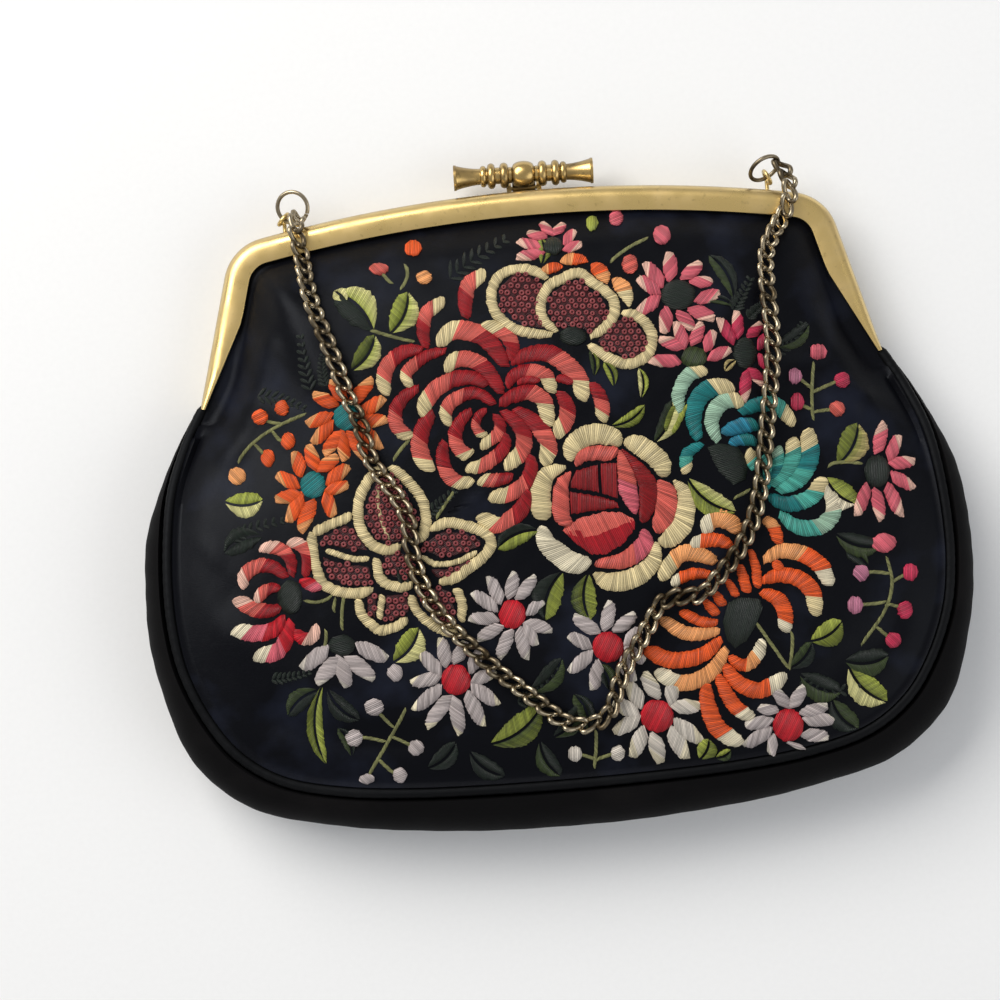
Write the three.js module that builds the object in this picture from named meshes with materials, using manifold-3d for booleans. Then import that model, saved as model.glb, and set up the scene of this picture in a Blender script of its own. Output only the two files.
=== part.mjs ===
// A small embroidered satin purse on a gilt channel frame, lying on its back.
// Millimetres, +X along the mouth, +Y from the bottom to the mouth, +Z up through the front panel.
import * as THREE from 'three';
import { mergeVertices } from 'three/addons/utils/BufferGeometryUtils.js';
import Module from 'manifold-3d';

const wasm = await Module();
wasm.setup();

// Frame: the arch over the mouth and the two arms, measured on the outer wall
const crestY = 60.5;
const archRadius = 291;
const armEndX = 68.4;
const armEndY = 22.6;
const armSplay = 15.3 * Math.PI / 180;
const cornerRadius = 10;
const frameDepth = 12;
const bandWidth = 5.5;
const taperedBand = 1.7;
const taperLength = 14;
const metalWall = 0.8;
const shoulderRadius = 2.5;
const webWidth = 4.5;
const clearance = 0.3;

// Bag: the seams' height, width and place
const bodyHalfWidth = 82.4;
const bodyDrop = 89.2;
const clothWall = 1.5;
const pipingRadius = 1.1;
const frontSeamHeight = 20;
const backSeamHeight = 1.5;
const crownHeight = 25.2;
const crownEase = 14;
const backEase = 6;
const foldFade = 7;

// Hinge pivots
const hingeRadius = 3;
const hingeWidth = 2.2;
const hingeInset = 2.6;
const rivetRadius = 1.5;
const rivetHead = 0.6;

// Clasp: a turned bar on a tilting stem, on a pin between two ears of the back half
const barLength = 28;
const barRadius = 2.7;
const barRise = 3.6;
const barHeight = 7;
const stemWidth = 4.6;
const stemThickness = 1;
const knuckleRadius = 1.15;
const pinRadius = 0.42;
const pinFit = 0.16;
const pivotHeight = 2.6;
const earThickness = 0.9;

// Chain, its end rings and the eyes that hold them
const eyeX = 48.8;
const eyeHole = 0.95;
const eyeWire = 0.42;
const eyeRise = 2.9;
const ringRadius = 3.15;
const ringWire = 0.42;
const chainRadius = 1.25;
const chainSides = 8;
const chainSteps = 78;

// The grid that the cloth walls are worked out on
const mouthColumns = 26;
const seamColumns = 38;
const gussetRows = 6;

// Chosen points of the chain's route from the left ring to the right one; where a point has no height of its
// own, the chain lies on the purse
const chainRoute = [
  [-45.6, 58.8, 10.3], [-45.9, 57.4, 13], [-45.8, 54.4, 14.1], [-45.2, 50.6], [-44.5, 45.6], [-43.3, 39.8],
  [-41.4, 33.8], [-39.7, 28], [-38.2, 22.3], [-36.1, 16.6], [-34.8, 10], [-32.6, 5.6], [-29.8, 0.9],
  [-28.4, -3.6], [-28.1, -9.6], [-26.6, -16], [-23.4, -22.4], [-19.2, -27.6], [-14.1, -33.2], [-9.7, -37.2],
  [-5.2, -41.4], [-1.6, -44.4], [2, -45.4], [5.4, -44.8], [7.8, -42.2], [9.2, -38.6], [11.4, -34.4],
  [14, -30.6], [16.8, -26.4], [19.4, -23], [23.2, -22.4], [27, -22], [30, -19.4], [32.8, -16.6],
  [35.4, -13.4], [37.6, -9.6], [39.6, -4.2], [41.2, 2.6], [42.6, 10], [44, 17.4], [45, 24], [45.2, 30.6],
  [45.1, 37.4], [45.8, 43], [48.2, 47.6], [50.6, 51], [51.9, 54.2, 14.2], [52.2, 57.4, 12.9],
  [51.5, 60.4, 11],
];

// The bag's outline from the hinge to the middle of the bottom, as shares of the half width and of the drop:
// the gusset's widest line, the seam lines, and how much of the full depth the bag has there
const outlineRows = [
  { gussetAcross: 0.862, gussetDown: 0.027, seamAcross: 0.836, seamDown: 0.02, depth: 0 },
  { gussetAcross: 0.9, gussetDown: 0.085, seamAcross: 0.87, seamDown: 0.083, depth: 0.14 },
  { gussetAcross: 0.941, gussetDown: 0.166, seamAcross: 0.905, seamDown: 0.175, depth: 0.46 },
  { gussetAcross: 0.984, gussetDown: 0.269, seamAcross: 0.922, seamDown: 0.27, depth: 0.7 },
  { gussetAcross: 0.998, gussetDown: 0.381, seamAcross: 0.93, seamDown: 0.38, depth: 0.86 },
  { gussetAcross: 1, gussetDown: 0.493, seamAcross: 0.927, seamDown: 0.482, depth: 0.94 },
  { gussetAcross: 0.981, gussetDown: 0.616, seamAcross: 0.908, seamDown: 0.583, depth: 0.98 },
  { gussetAcross: 0.934, gussetDown: 0.758, seamAcross: 0.86, seamDown: 0.688, depth: 1 },
  { gussetAcross: 0.862, gussetDown: 0.848, seamAcross: 0.792, seamDown: 0.774, depth: 1 },
  { gussetAcross: 0.749, gussetDown: 0.915, seamAcross: 0.69, seamDown: 0.836, depth: 1 },
  { gussetAcross: 0.583, gussetDown: 0.954, seamAcross: 0.546, seamDown: 0.869, depth: 1 },
  { gussetAcross: 0.413, gussetDown: 0.979, seamAcross: 0.38, seamDown: 0.885, depth: 1 },
  { gussetAcross: 0.206, gussetDown: 0.995, seamAcross: 0.19, seamDown: 0.892, depth: 1 },
  { gussetAcross: 0, gussetDown: 1, seamAcross: 0, seamDown: 0.894, depth: 1 },
];

// Folds of the front panel: a ridge line from one point to another in shares of the half width and of the
// drop below the arm ends, its half breadth as a share of the half width and its rise as a share of the crown
const foldRows = [
  { fromX: -0.62, fromDown: -0.25, toX: -0.51, toDown: -0.02, breadth: 0.035, rise: 0.045 },
  { fromX: -0.66, fromDown: -0.12, toX: -0.76, toDown: 0.1, breadth: 0.045, rise: 0.06 },
  { fromX: -0.4, fromDown: -0.3, toX: 0.42, toDown: -0.3, breadth: 0.04, rise: 0.035 },
  { fromX: 0.68, fromDown: -0.08, toX: 0.78, toDown: 0.12, breadth: 0.045, rise: 0.06 },
  { fromX: 0.6, fromDown: 0.02, toX: 0.8, toDown: 0.03, breadth: 0.03, rise: -0.03 },
  { fromX: -0.76, fromDown: 0.5, toX: -0.58, toDown: 0.66, breadth: 0.06, rise: 0.04 },
  { fromX: -0.7, fromDown: 0.7, toX: -0.4, toDown: 0.78, breadth: 0.05, rise: -0.035 },
  { fromX: 0.5, fromDown: 0.78, toX: 0.78, toDown: 0.62, breadth: 0.05, rise: -0.035 },
];

const gilt = new THREE.MeshStandardMaterial({ color: 0xc9a55c, metalness: 1, roughness: 0.32 });
const darkBrass = new THREE.MeshStandardMaterial({ color: 0x6b5a3c, metalness: 1, roughness: 0.45 });
const blackSatin = new THREE.MeshStandardMaterial({ color: 0x0d0d14, metalness: 0, roughness: 0.42 });
const blackCloth = new THREE.MeshStandardMaterial({ color: 0x0a0908, metalness: 0, roughness: 0.85 });

const purse = new THREE.Group();

// Shared tools for closed meshes

function meshFrom(points, faces) {
  const geometry = new THREE.BufferGeometry();
  const positions = points.flatMap((point) => [point.x, point.y, point.z]);
  geometry.setAttribute('position', new THREE.Float32BufferAttribute(positions, 3));
  geometry.setIndex(faces.flat());
  return geometry;
}

// Joins rings of equally many points into one closed body, with flat caps at both ends
function loft(rings) {
  const count = rings[0].length;
  const points = rings.flat();
  const faces = [];
  for (let ring = 0; ring + 1 < rings.length; ring += 1) {
    for (let side = 0; side < count; side += 1) {
      const next = (side + 1) % count;
      const a = ring * count + side;
      const b = ring * count + next;
      faces.push([a, b, b + count], [a, b + count, a + count]);
    }
  }
  const capFaces = flatCap(rings[0]);
  const last = (rings.length - 1) * count;
  for (const [a, b, c] of capFaces) {
    faces.push([c, b, a], [last + a, last + b, last + c]);
  }
  return outward(meshFrom(points, faces));
}

// Triangulates one ring in its own plane, keeping its direction
function flatCap(ring) {
  const normal = new THREE.Vector3();
  ring.forEach((point, index) => {
    normal.add(new THREE.Vector3().crossVectors(point, ring[(index + 1) % ring.length]));
  });
  normal.normalize();
  const along = new THREE.Vector3().subVectors(ring[1], ring[0]).normalize();
  const across = new THREE.Vector3().crossVectors(normal, along);
  const flat = ring.map((point) => new THREE.Vector2(point.dot(along), point.dot(across)));
  return THREE.ShapeUtils.triangulateShape(flat, []);
}

function signedVolume(geometry) {
  const position = geometry.getAttribute('position');
  const index = geometry.getIndex();
  const [a, b, c] = [new THREE.Vector3(), new THREE.Vector3(), new THREE.Vector3()];
  let volume = 0;
  for (let face = 0; face < index.count; face += 3) {
    a.fromBufferAttribute(position, index.getX(face));
    b.fromBufferAttribute(position, index.getX(face + 1));
    c.fromBufferAttribute(position, index.getX(face + 2));
    volume += a.dot(b.cross(c)) / 6;
  }
  return volume;
}

function outward(geometry) {
  if (signedVolume(geometry) < 0) {
    const index = geometry.getIndex();
    for (let face = 0; face < index.count; face += 3) {
      const second = index.getX(face + 1);
      index.setX(face + 1, index.getX(face + 2));
      index.setX(face + 2, second);
    }
  }
  return geometry;
}

function solidOf(geometry) {
  const bare = geometry.clone();
  bare.deleteAttribute('normal');
  bare.deleteAttribute('uv');
  const merged = mergeVertices(bare, 1e-4);
  const vertProperties = new Float32Array(merged.getAttribute('position').array);
  const triVerts = new Uint32Array(merged.getIndex().array);
  return new wasm.Manifold(new wasm.Mesh({ numProp: 3, vertProperties, triVerts }));
}

function geometryOf(solid) {
  const mesh = solid.getMesh();
  const geometry = new THREE.BufferGeometry();
  geometry.setAttribute('position', new THREE.BufferAttribute(new Float32Array(mesh.vertProperties), 3));
  geometry.setIndex(new THREE.BufferAttribute(new Uint32Array(mesh.triVerts), 1));
  return geometry;
}

function addPiece(name, geometry, material) {
  const bare = geometry.index ? geometry.clone() : geometry;
  bare.deleteAttribute('uv');
  bare.computeVertexNormals();
  const mesh = new THREE.Mesh(bare, material);
  mesh.name = name;
  purse.add(mesh);
  return mesh;
}

// A row's value between the rows of a table, by smooth interpolation along the row number
function smoothRow(rows, column, place) {
  const at = Math.min(Math.max(place, 0), rows.length - 1);
  const low = Math.min(Math.floor(at), rows.length - 2);
  const value = (row) => {
    if (row < 0) {
      return 2 * rows[0][column] - rows[-row][column];
    }
    if (row > rows.length - 1) {
      const mirrored = rows[2 * (rows.length - 1) - row][column];
      return column.endsWith('Across') ? -mirrored : mirrored;
    }
    return rows[row][column];
  };
  const [p, q, r, s] = [value(low - 1), value(low), value(low + 1), value(low + 2)];
  const t = at - low;
  const bend = (2 * p - 5 * q + 4 * r - s) * t * t + (3 * q - p - 3 * r + s) * t * t * t;
  return q + 0.5 * ((r - p) * t + bend);
}

// The frame's path on its outer wall, as a place from 0 at an arm's end to 1 at the crest

const armShare = 0.32;
const cornerShare = 0.12;
const armOut = new THREE.Vector2(Math.cos(armSplay), Math.sin(armSplay));
const armDown = new THREE.Vector2(Math.sin(armSplay), -Math.cos(armSplay));
const armEnd = new THREE.Vector2(armEndX, armEndY);
const archCentre = new THREE.Vector2(0, crestY - archRadius);

function archY(x) {
  return archCentre.y + Math.sqrt(archRadius * archRadius - x * x);
}

// The arm is as long as it takes for the corner's arc to touch the arch from inside
function armLength() {
  const start = armEnd.clone().addScaledVector(armOut, -cornerRadius).sub(archCentre);
  const along = -start.dot(armDown);
  const reach = archRadius - cornerRadius;
  return -along + Math.sqrt(along * along - start.lengthSq() + reach * reach);
}

const armTravel = armLength();
const cornerCentre = armEnd.clone().addScaledVector(armOut, -cornerRadius).addScaledVector(armDown, -armTravel);
const archAngle = Math.atan2(cornerCentre.y - archCentre.y, cornerCentre.x);

// The right half's point, outward direction and way to the arm's end at one place
function framePlace(place) {
  if (place <= armShare) {
    const toEnd = armTravel * place / armShare;
    return { point: armEnd.clone().addScaledVector(armDown, -toEnd), out: armOut.clone(), toEnd };
  }
  const arcShare = Math.min(1, (place - armShare) / cornerShare);
  if (arcShare < 1) {
    const angle = armSplay + (archAngle - armSplay) * arcShare;
    const out = new THREE.Vector2(Math.cos(angle), Math.sin(angle));
    return { point: cornerCentre.clone().addScaledVector(out, cornerRadius), out, toEnd: armTravel };
  }
  const archPart = (place - armShare - cornerShare) / (1 - armShare - cornerShare);
  const angle = archAngle + (Math.PI / 2 - archAngle) * archPart;
  const out = new THREE.Vector2(Math.cos(angle), Math.sin(angle));
  return { point: archCentre.clone().addScaledVector(out, archRadius), out, toEnd: armTravel };
}

// The same from the left arm's end at 0 over the crest at one half to the right arm's end at 1
function wholePlace(share) {
  const { point, out, toEnd } = framePlace(1 - Math.abs(1 - 2 * share));
  const side = share < 0.5 ? -1 : 1;
  return { point: new THREE.Vector2(side * point.x, point.y), out: new THREE.Vector2(side * out.x, out.y), toEnd };
}

function frameShares() {
  const half = [];
  for (let step = 0; step < 4; step += 1) {
    half.push(armShare * step / 4);
  }
  for (let step = 0; step < 4; step += 1) {
    half.push(armShare + cornerShare * step / 4);
  }
  for (let step = 0; step < 9; step += 1) {
    half.push(armShare + cornerShare + (1 - armShare - cornerShare) * step / 9);
  }
  const left = half.map((place) => place / 2);
  return [...left, 0.5, ...left.slice().reverse().map((share) => 1 - share)];
}

// The flange narrows over the last stretch of each arm
function flangeWidth(toEnd) {
  return taperedBand + (bandWidth - taperedBand) * Math.min(1, toEnd / taperLength);
}

// The front half's channel: distance inside the outer wall, and height over the back flange's plane
function channelSection(toEnd) {
  const width = flangeWidth(toEnd);
  const web = Math.min(webWidth, width);
  const bend = Math.min(shoulderRadius, width - clearance);
  const middle = frameDepth / 2 + clearance / 2;
  const springing = frameDepth - shoulderRadius;
  const section = [[width, frameDepth]];
  for (const degrees of [90, 60, 30, 0]) {
    const turn = degrees * Math.PI / 180;
    section.push([bend - bend * Math.cos(turn), springing + shoulderRadius * Math.sin(turn)]);
  }
  section.push([0, middle], [web, middle], [web, middle + metalWall], [metalWall, middle + metalWall]);
  for (const degrees of [0, 45, 90]) {
    const turn = degrees * Math.PI / 180;
    const inside = (bend - metalWall) * Math.cos(turn);
    section.push([bend - inside, springing + (shoulderRadius - metalWall) * Math.sin(turn)]);
  }
  section.push([width, frameDepth - metalWall]);
  return section;
}

function frameHalf(isBack) {
  return loft(frameShares().map((share) => {
    const { point, out, toEnd } = wholePlace(share);
    return channelSection(toEnd).map(([inside, height]) => {
      const place = point.clone().addScaledVector(out, -inside);
      return new THREE.Vector3(place.x, place.y, isBack ? frameDepth - height : height);
    });
  }));
}

// The eyes and rings: how far each eye is turned about +Z, and how far its ring leans up from lying flat
const endRows = [
  { name: 'left', side: -1, turn: 45, lean: 20 },
  { name: 'right', side: 1, turn: 25, lean: 58 },
];

// The eye's stem lies wholly on the back half's wall
const eyeHeight = frameDepth / 2 - clearance / 2 + eyeHole;

function eyeCentre(side) {
  return new THREE.Vector3(side * eyeX, archY(eyeX) + eyeRise, eyeHeight);
}

// An eye stands on a short stem from the back half's wall, and its hole faces along the ring's wire
function chainEye({ side, turn }) {
  const centre = eyeCentre(side);
  const middle = eyeHole + eyeWire;
  const eye = new THREE.TorusGeometry(middle, eyeWire, 6, 12);
  eye.rotateY(Math.PI / 2);
  eye.rotateZ(side * turn * Math.PI / 180);
  eye.translate(centre.x, centre.y, centre.z);
  const stemTop = centre.z - middle;
  const stem = new THREE.CylinderGeometry(eyeWire, eyeWire, eyeRise + metalWall, 8);
  stem.translate(centre.x, centre.y - (eyeRise - metalWall / 2) / 2, stemTop);
  return solidOf(eye).add(solidOf(stem));
}

// Clasp: the pivot lies just off the back half's wall

const pivotY = crestY + clearance + knuckleRadius;
const barY = crestY + barRise;

function crossCylinder(radius, length, y, z, sides) {
  const cylinder = new THREE.CylinderGeometry(radius, radius, length, sides);
  cylinder.rotateZ(Math.PI / 2);
  cylinder.translate(0, y, z);
  return solidOf(cylinder);
}

// Two ears soldered to the back half, bored for the pin
function claspEar(side) {
  const bottom = crestY - metalWall / 2;
  const x = side * (stemWidth / 2 + clearance + earThickness / 2);
  const ear = new THREE.BoxGeometry(earThickness, pivotY - bottom, 2 * knuckleRadius);
  ear.translate(x, (pivotY + bottom) / 2, pivotHeight);
  const round = new THREE.CylinderGeometry(knuckleRadius, knuckleRadius, earThickness, 12);
  round.rotateZ(Math.PI / 2);
  round.translate(x, pivotY, pivotHeight);
  return solidOf(ear).add(solidOf(round));
}

const barRows = [
  { along: 0, radius: 0.9 }, { along: 0.012, radius: 0.98 }, { along: 0.035, radius: 0.94 },
  { along: 0.18, radius: 0.74 }, { along: 0.195, radius: 0.82 }, { along: 0.215, radius: 0.92 },
  { along: 0.235, radius: 0.82 }, { along: 0.25, radius: 0.7 }, { along: 0.26, radius: 0.88 },
  { along: 0.28, radius: 0.98 }, { along: 0.3, radius: 0.88 }, { along: 0.315, radius: 0.66 },
  { along: 0.335, radius: 0.66 }, { along: 0.345, radius: 0.86 }, { along: 0.37, radius: 0.96 },
  { along: 0.395, radius: 0.86 }, { along: 0.41, radius: 0.72 }, { along: 0.45, radius: 0.94 },
  { along: 0.5, radius: 1 },
];

function turnedBar() {
  const half = barRows.map(({ along, radius }) => new THREE.Vector2(radius * barRadius, (along - 0.5) * barLength));
  const other = half.slice(0, -1).reverse().map((point) => new THREE.Vector2(point.x, -point.y));
  const end = new THREE.Vector2(0, barLength / 2);
  const bar = new THREE.LatheGeometry([new THREE.Vector2(0, -end.y), ...half, ...other, end], 12);
  bar.rotateZ(-Math.PI / 2);
  bar.translate(0, barY, barHeight);
  return solidOf(bar);
}

// The bar, its flat stem and the knuckle at the stem's foot are soldered together
function claspBar() {
  const way = new THREE.Vector2(barY - pivotY, barHeight - pivotHeight);
  const stem = new THREE.BoxGeometry(stemWidth, stemThickness, way.length());
  stem.rotateX(-Math.atan2(way.x, way.y));
  stem.translate(0, pivotY + way.x / 2, pivotHeight + way.y / 2);
  const knuckle = crossCylinder(knuckleRadius, stemWidth, pivotY, pivotHeight, 12);
  const bore = crossCylinder(pinRadius + pinFit, stemWidth + clearance, pivotY, pivotHeight, 12);
  return turnedBar().add(solidOf(stem)).add(knuckle).subtract(bore);
}

const pinLength = stemWidth + 2 * clearance + 2 * earThickness;
let backSolid = solidOf(frameHalf(true));
for (const row of endRows) {
  backSolid = backSolid.add(chainEye(row));
}
for (const side of [-1, 1]) {
  backSolid = backSolid.add(claspEar(side));
}
backSolid = backSolid.subtract(crossCylinder(pinRadius + pinFit, pinLength + clearance, pivotY, pivotHeight, 12));
const frameFront = addPiece('frame_front', frameHalf(false), gilt);
addPiece('frame_back', geometryOf(backSolid), gilt);
addPiece('clasp_bar', geometryOf(claspBar()), gilt);
addPiece('clasp_pin', geometryOf(crossCylinder(pinRadius, pinLength, pivotY, pivotHeight, 8)), gilt);

// Hinge pivots below the arm ends: a disc with a rivet head on its outer side
function hinge(side) {
  const half = hingeWidth / 2;
  const profile = [
    [0, -half], [hingeRadius, -half], [hingeRadius, half], [rivetRadius, half],
    [rivetRadius * 0.8, half + rivetHead], [0, half + rivetHead],
  ].map(([radius, along]) => new THREE.Vector2(radius, along));
  const disc = new THREE.LatheGeometry(profile, 16);
  disc.rotateZ(armSplay - Math.PI / 2);
  const seat = armEnd.clone().addScaledVector(armDown, hingeRadius + clearance);
  seat.addScaledVector(armOut, -hingeInset);
  disc.translate(seat.x, seat.y, 0);
  if (side < 0) {
    disc.rotateY(Math.PI);
  }
  disc.translate(0, 0, frameDepth / 2);
  return disc;
}

addPiece('hinge_left', hinge(-1), gilt);
addPiece('hinge_right', hinge(1), gilt);

// The cloth bag: plan places along the seams, from the left hinge at 0 round the bottom to the right hinge at 1

function outlinePlace(share, kind) {
  const place = (1 - Math.abs(1 - 2 * share)) * (outlineRows.length - 1);
  const side = share < 0.5 ? -1 : 1;
  const across = smoothRow(outlineRows, kind + 'Across', place) * bodyHalfWidth;
  return new THREE.Vector2(side * across, armEndY - smoothRow(outlineRows, kind + 'Down', place) * bodyDrop);
}

function seamInward(share) {
  const step = 0.004;
  const after = outlinePlace(Math.min(1, share + step), 'seam');
  const before = outlinePlace(Math.max(0, share - step), 'seam');
  const along = after.sub(before).normalize();
  return new THREE.Vector2(-along.y, along.x);
}

const hingeSeamHeight = frameDepth / 2 + hingeRadius + clearance + pipingRadius;

function seamHeight(share, isFront) {
  const place = (1 - Math.abs(1 - 2 * share)) * (outlineRows.length - 1);
  const depth = smoothRow(outlineRows, 'depth', place);
  const atHinge = isFront ? hingeSeamHeight : frameDepth - hingeSeamHeight;
  return atHinge + ((isFront ? frontSeamHeight : backSeamHeight) - atHinge) * depth;
}

// The cloth's two border lines: held in the frame's channel above, and beside the piping below, where a
// panel's sloping wall leans over its own edge by about half its thickness
const pipingGap = pipingRadius + clearance;
const panelGap = pipingGap + clothWall / 2;

function mouthPoint(share) {
  const { point, out } = wholePlace(share);
  return point.addScaledVector(out, -shoulderRadius);
}

function seamEdge(share) {
  return outlinePlace(share, 'seam').addScaledVector(seamInward(share), panelGap);
}

function sharesOf(columns) {
  return Array.from({ length: columns + 1 }, (_, column) => column / columns);
}

const mouthLine = sharesOf(mouthColumns).map(mouthPoint);
const seamLine = sharesOf(seamColumns).map(seamEdge);

function distanceToLine(point, line) {
  let nearest = { distance: Infinity, share: 0 };
  for (let index = 0; index + 1 < line.length; index += 1) {
    const way = line[index + 1].clone().sub(line[index]);
    const along = Math.min(1, Math.max(0, point.clone().sub(line[index]).dot(way) / way.lengthSq()));
    const distance = line[index].clone().addScaledVector(way, along).distanceTo(point);
    if (distance < nearest.distance) {
      nearest = { distance, share: (index + along) / (line.length - 1) };
    }
  }
  return nearest;
}

// Under the flange the cloth stays flat, and past it the cloth rises or sinks to the panel's own height
const channelReach = bandWidth - shoulderRadius + 2 * clearance;
const frontChannelHeight = frameDepth - metalWall - clearance - clothWall / 2;

function foldRise(point) {
  let rise = 0;
  for (const { fromX, fromDown, toX, toDown, breadth, rise: share } of foldRows) {
    const from = new THREE.Vector2(fromX * bodyHalfWidth, armEndY - fromDown * bodyDrop);
    const to = new THREE.Vector2(toX * bodyHalfWidth, armEndY - toDown * bodyDrop);
    const { distance } = distanceToLine(point, [from, to]);
    rise += share * crownHeight * Math.exp(-((distance / (breadth * bodyHalfWidth)) ** 2));
  }
  return rise;
}

function frontHeight(point) {
  const fromMouth = Math.max(0, distanceToLine(point, mouthLine).distance - channelReach);
  const seam = distanceToLine(point, seamLine);
  const edgeHeight = seamHeight(seam.share, true);
  const overMouth = frontChannelHeight + (crownHeight - frontChannelHeight) * (1 - Math.exp(-fromMouth / crownEase));
  const overSeam = edgeHeight + (crownHeight - edgeHeight) * (1 - Math.exp(-seam.distance / crownEase));
  const nearest = Math.min(fromMouth, seam.distance);
  const blend = Math.min(clothWall, 0.15 * nearest) + 1e-3;
  const lower = Math.min(overMouth, overSeam);
  const soft = blend * Math.log(1 + Math.exp(-Math.abs(overMouth - overSeam) / blend));
  return lower - soft + foldRise(point) * Math.min(1, nearest / foldFade) ** 2;
}

function backHeight(point) {
  const fromMouth = Math.max(0, distanceToLine(point, mouthLine).distance - channelReach);
  const seam = distanceToLine(point, seamLine);
  const settle = (distance) => Math.max(0, 1 - distance / backEase) ** 2;
  const atMouth = (frameDepth - frontChannelHeight - clothWall / 2) * settle(fromMouth);
  const atSeam = (seamHeight(seam.share, false) - clothWall / 2) * settle(seam.distance);
  return clothWall / 2 + Math.max(atMouth, atSeam);
}

// A closed wall of even thickness round a grid of points on its middle surface. An open grid is a strip with
// four edges, and a ring grid closes on itself round a flat middle.
function clothWallOf(grid, isRing) {
  const rows = grid.length;
  const columns = grid[0].length;
  const wrap = (column) => (isRing ? (column + columns) % columns : Math.min(columns - 1, Math.max(0, column)));
  const normals = grid.map((line, row) => line.map((_, column) => {
    const down = grid[Math.min(rows - 1, row + 1)][column].clone().sub(grid[Math.max(0, row - 1)][column]);
    const across = line[wrap(column + 1)].clone().sub(line[wrap(column - 1)]);
    return down.cross(across).normalize();
  }));
  const points = [];
  for (const side of [1, -1]) {
    grid.forEach((line, row) => line.forEach((point, column) => {
      points.push(point.clone().addScaledVector(normals[row][column], side * clothWall / 2));
    }));
  }
  const top = (row, column) => row * columns + wrap(column);
  const under = (row, column) => (rows + row) * columns + wrap(column);
  const faces = [];
  const quad = (a, b, c, d) => faces.push([a, b, c], [a, c, d]);
  for (let column = 0; column < (isRing ? columns : columns - 1); column += 1) {
    const next = column + 1;
    for (let row = 0; row + 1 < rows; row += 1) {
      quad(top(row, column), top(row + 1, column), top(row + 1, next), top(row, next));
      quad(under(row, column), under(row, next), under(row + 1, next), under(row + 1, column));
    }
    quad(top(0, next), under(0, next), under(0, column), top(0, column));
    if (!isRing) {
      quad(top(rows - 1, column), under(rows - 1, column), under(rows - 1, next), top(rows - 1, next));
    }
  }
  if (isRing) {
    for (const [a, b, c] of flatCap(grid[rows - 1])) {
      faces.push([top(rows - 1, c), top(rows - 1, b), top(rows - 1, a)]);
      faces.push([under(rows - 1, a), under(rows - 1, b), under(rows - 1, c)]);
    }
  } else {
    for (let row = 0; row + 1 < rows; row += 1) {
      const last = columns - 1;
      quad(top(row, 0), under(row, 0), under(row + 1, 0), top(row + 1, 0));
      quad(top(row + 1, last), under(row + 1, last), under(row, last), top(row, last));
    }
  }
  return outward(meshFrom(points, faces));
}

// Rings of a panel from its border inward: first at set reaches from the border, as shares of the flat stretch
// in the channel, then at shares of the way to the panel's middle
const frontRings = [{ reach: 0 }, { reach: 1 }, { reach: 1.55 }, { reach: 2.3 }, { reach: 3.4 }, { way: 0.36 },
  { way: 0.56 }, { way: 0.8 }];
const backRings = [{ reach: 0 }, { reach: 1 }, { reach: 1.55 }, { reach: 2.7 }, { way: 0.6 }];

// The panel's border with its inward directions: the mouth from left to right, then the seam back to the left
function panelBorder() {
  const mouth = sharesOf(mouthColumns).map((share, column) => {
    return { point: mouthLine[column], inward: wholePlace(share).out.negate() };
  });
  const seam = sharesOf(seamColumns).map((share, column) => {
    return { point: seamLine[column], inward: seamInward(share) };
  });
  return [...mouth, ...seam.reverse()];
}

function panelRings(rings, heightAt) {
  const panelMiddle = new THREE.Vector2(0, armEndY - bodyDrop / 4);
  const border = panelBorder();
  return rings.map(({ reach, way }) => border.map(({ point, inward }) => {
    const toMiddle = panelMiddle.clone().sub(point);
    const slant = Math.max(0.6, inward.dot(toMiddle.clone().normalize()));
    const share = way ?? reach * channelReach / slant / toMiddle.length();
    const plan = point.clone().addScaledVector(toMiddle, share);
    return new THREE.Vector3(plan.x, plan.y, heightAt(plan));
  }));
}

function gussetGrid() {
  const grid = Array.from({ length: gussetRows + 1 }, () => []);
  for (const share of sharesOf(seamColumns)) {
    const seam = outlinePlace(share, 'seam');
    const out = outlinePlace(share, 'gusset').sub(seam);
    const bulge = out.length() - clothWall / 2;
    out.normalize();
    const [high, low] = [seamHeight(share, true), seamHeight(share, false)];
    const half = (high - low) / 2;
    const start = clearOfPiping(bulge, half);
    grid.forEach((line, row) => {
      const turn = start + (Math.PI - 2 * start) * row / gussetRows;
      const plan = seam.clone().addScaledVector(out, bulge * Math.sin(turn));
      line.push(new THREE.Vector3(plan.x, plan.y, low + half + half * Math.cos(turn)));
    });
  }
  return grid;
}

// The angle on the gusset's half ellipse where it comes clear of the piping
function clearOfPiping(bulge, half) {
  let [near, far] = [0, Math.PI / 2];
  for (let step = 0; step < 24; step += 1) {
    const middle = (near + far) / 2;
    const away = Math.hypot(bulge * Math.sin(middle), half * (1 - Math.cos(middle)));
    if (away < pipingGap + clearance) {
      near = middle;
    } else {
      far = middle;
    }
  }
  return far;
}

function piping(isFront) {
  return loft(sharesOf(seamColumns).map((share) => {
    const seam = outlinePlace(share, 'seam');
    const out = seamInward(share);
    return Array.from({ length: 8 }, (_, side) => {
      const turn = side * Math.PI / 4;
      const plan = seam.clone().addScaledVector(out, pipingRadius * Math.cos(turn));
      return new THREE.Vector3(plan.x, plan.y, seamHeight(share, isFront) + pipingRadius * Math.sin(turn));
    });
  }));
}

const frontPanel = addPiece('front_panel', clothWallOf(panelRings(frontRings, frontHeight), true), blackSatin);
addPiece('back_panel', clothWallOf(panelRings(backRings, backHeight), true), blackSatin);
addPiece('gusset', clothWallOf(gussetGrid(), false), blackCloth);
addPiece('piping_front', piping(true), blackSatin);
addPiece('piping_back', piping(false), blackSatin);

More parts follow.
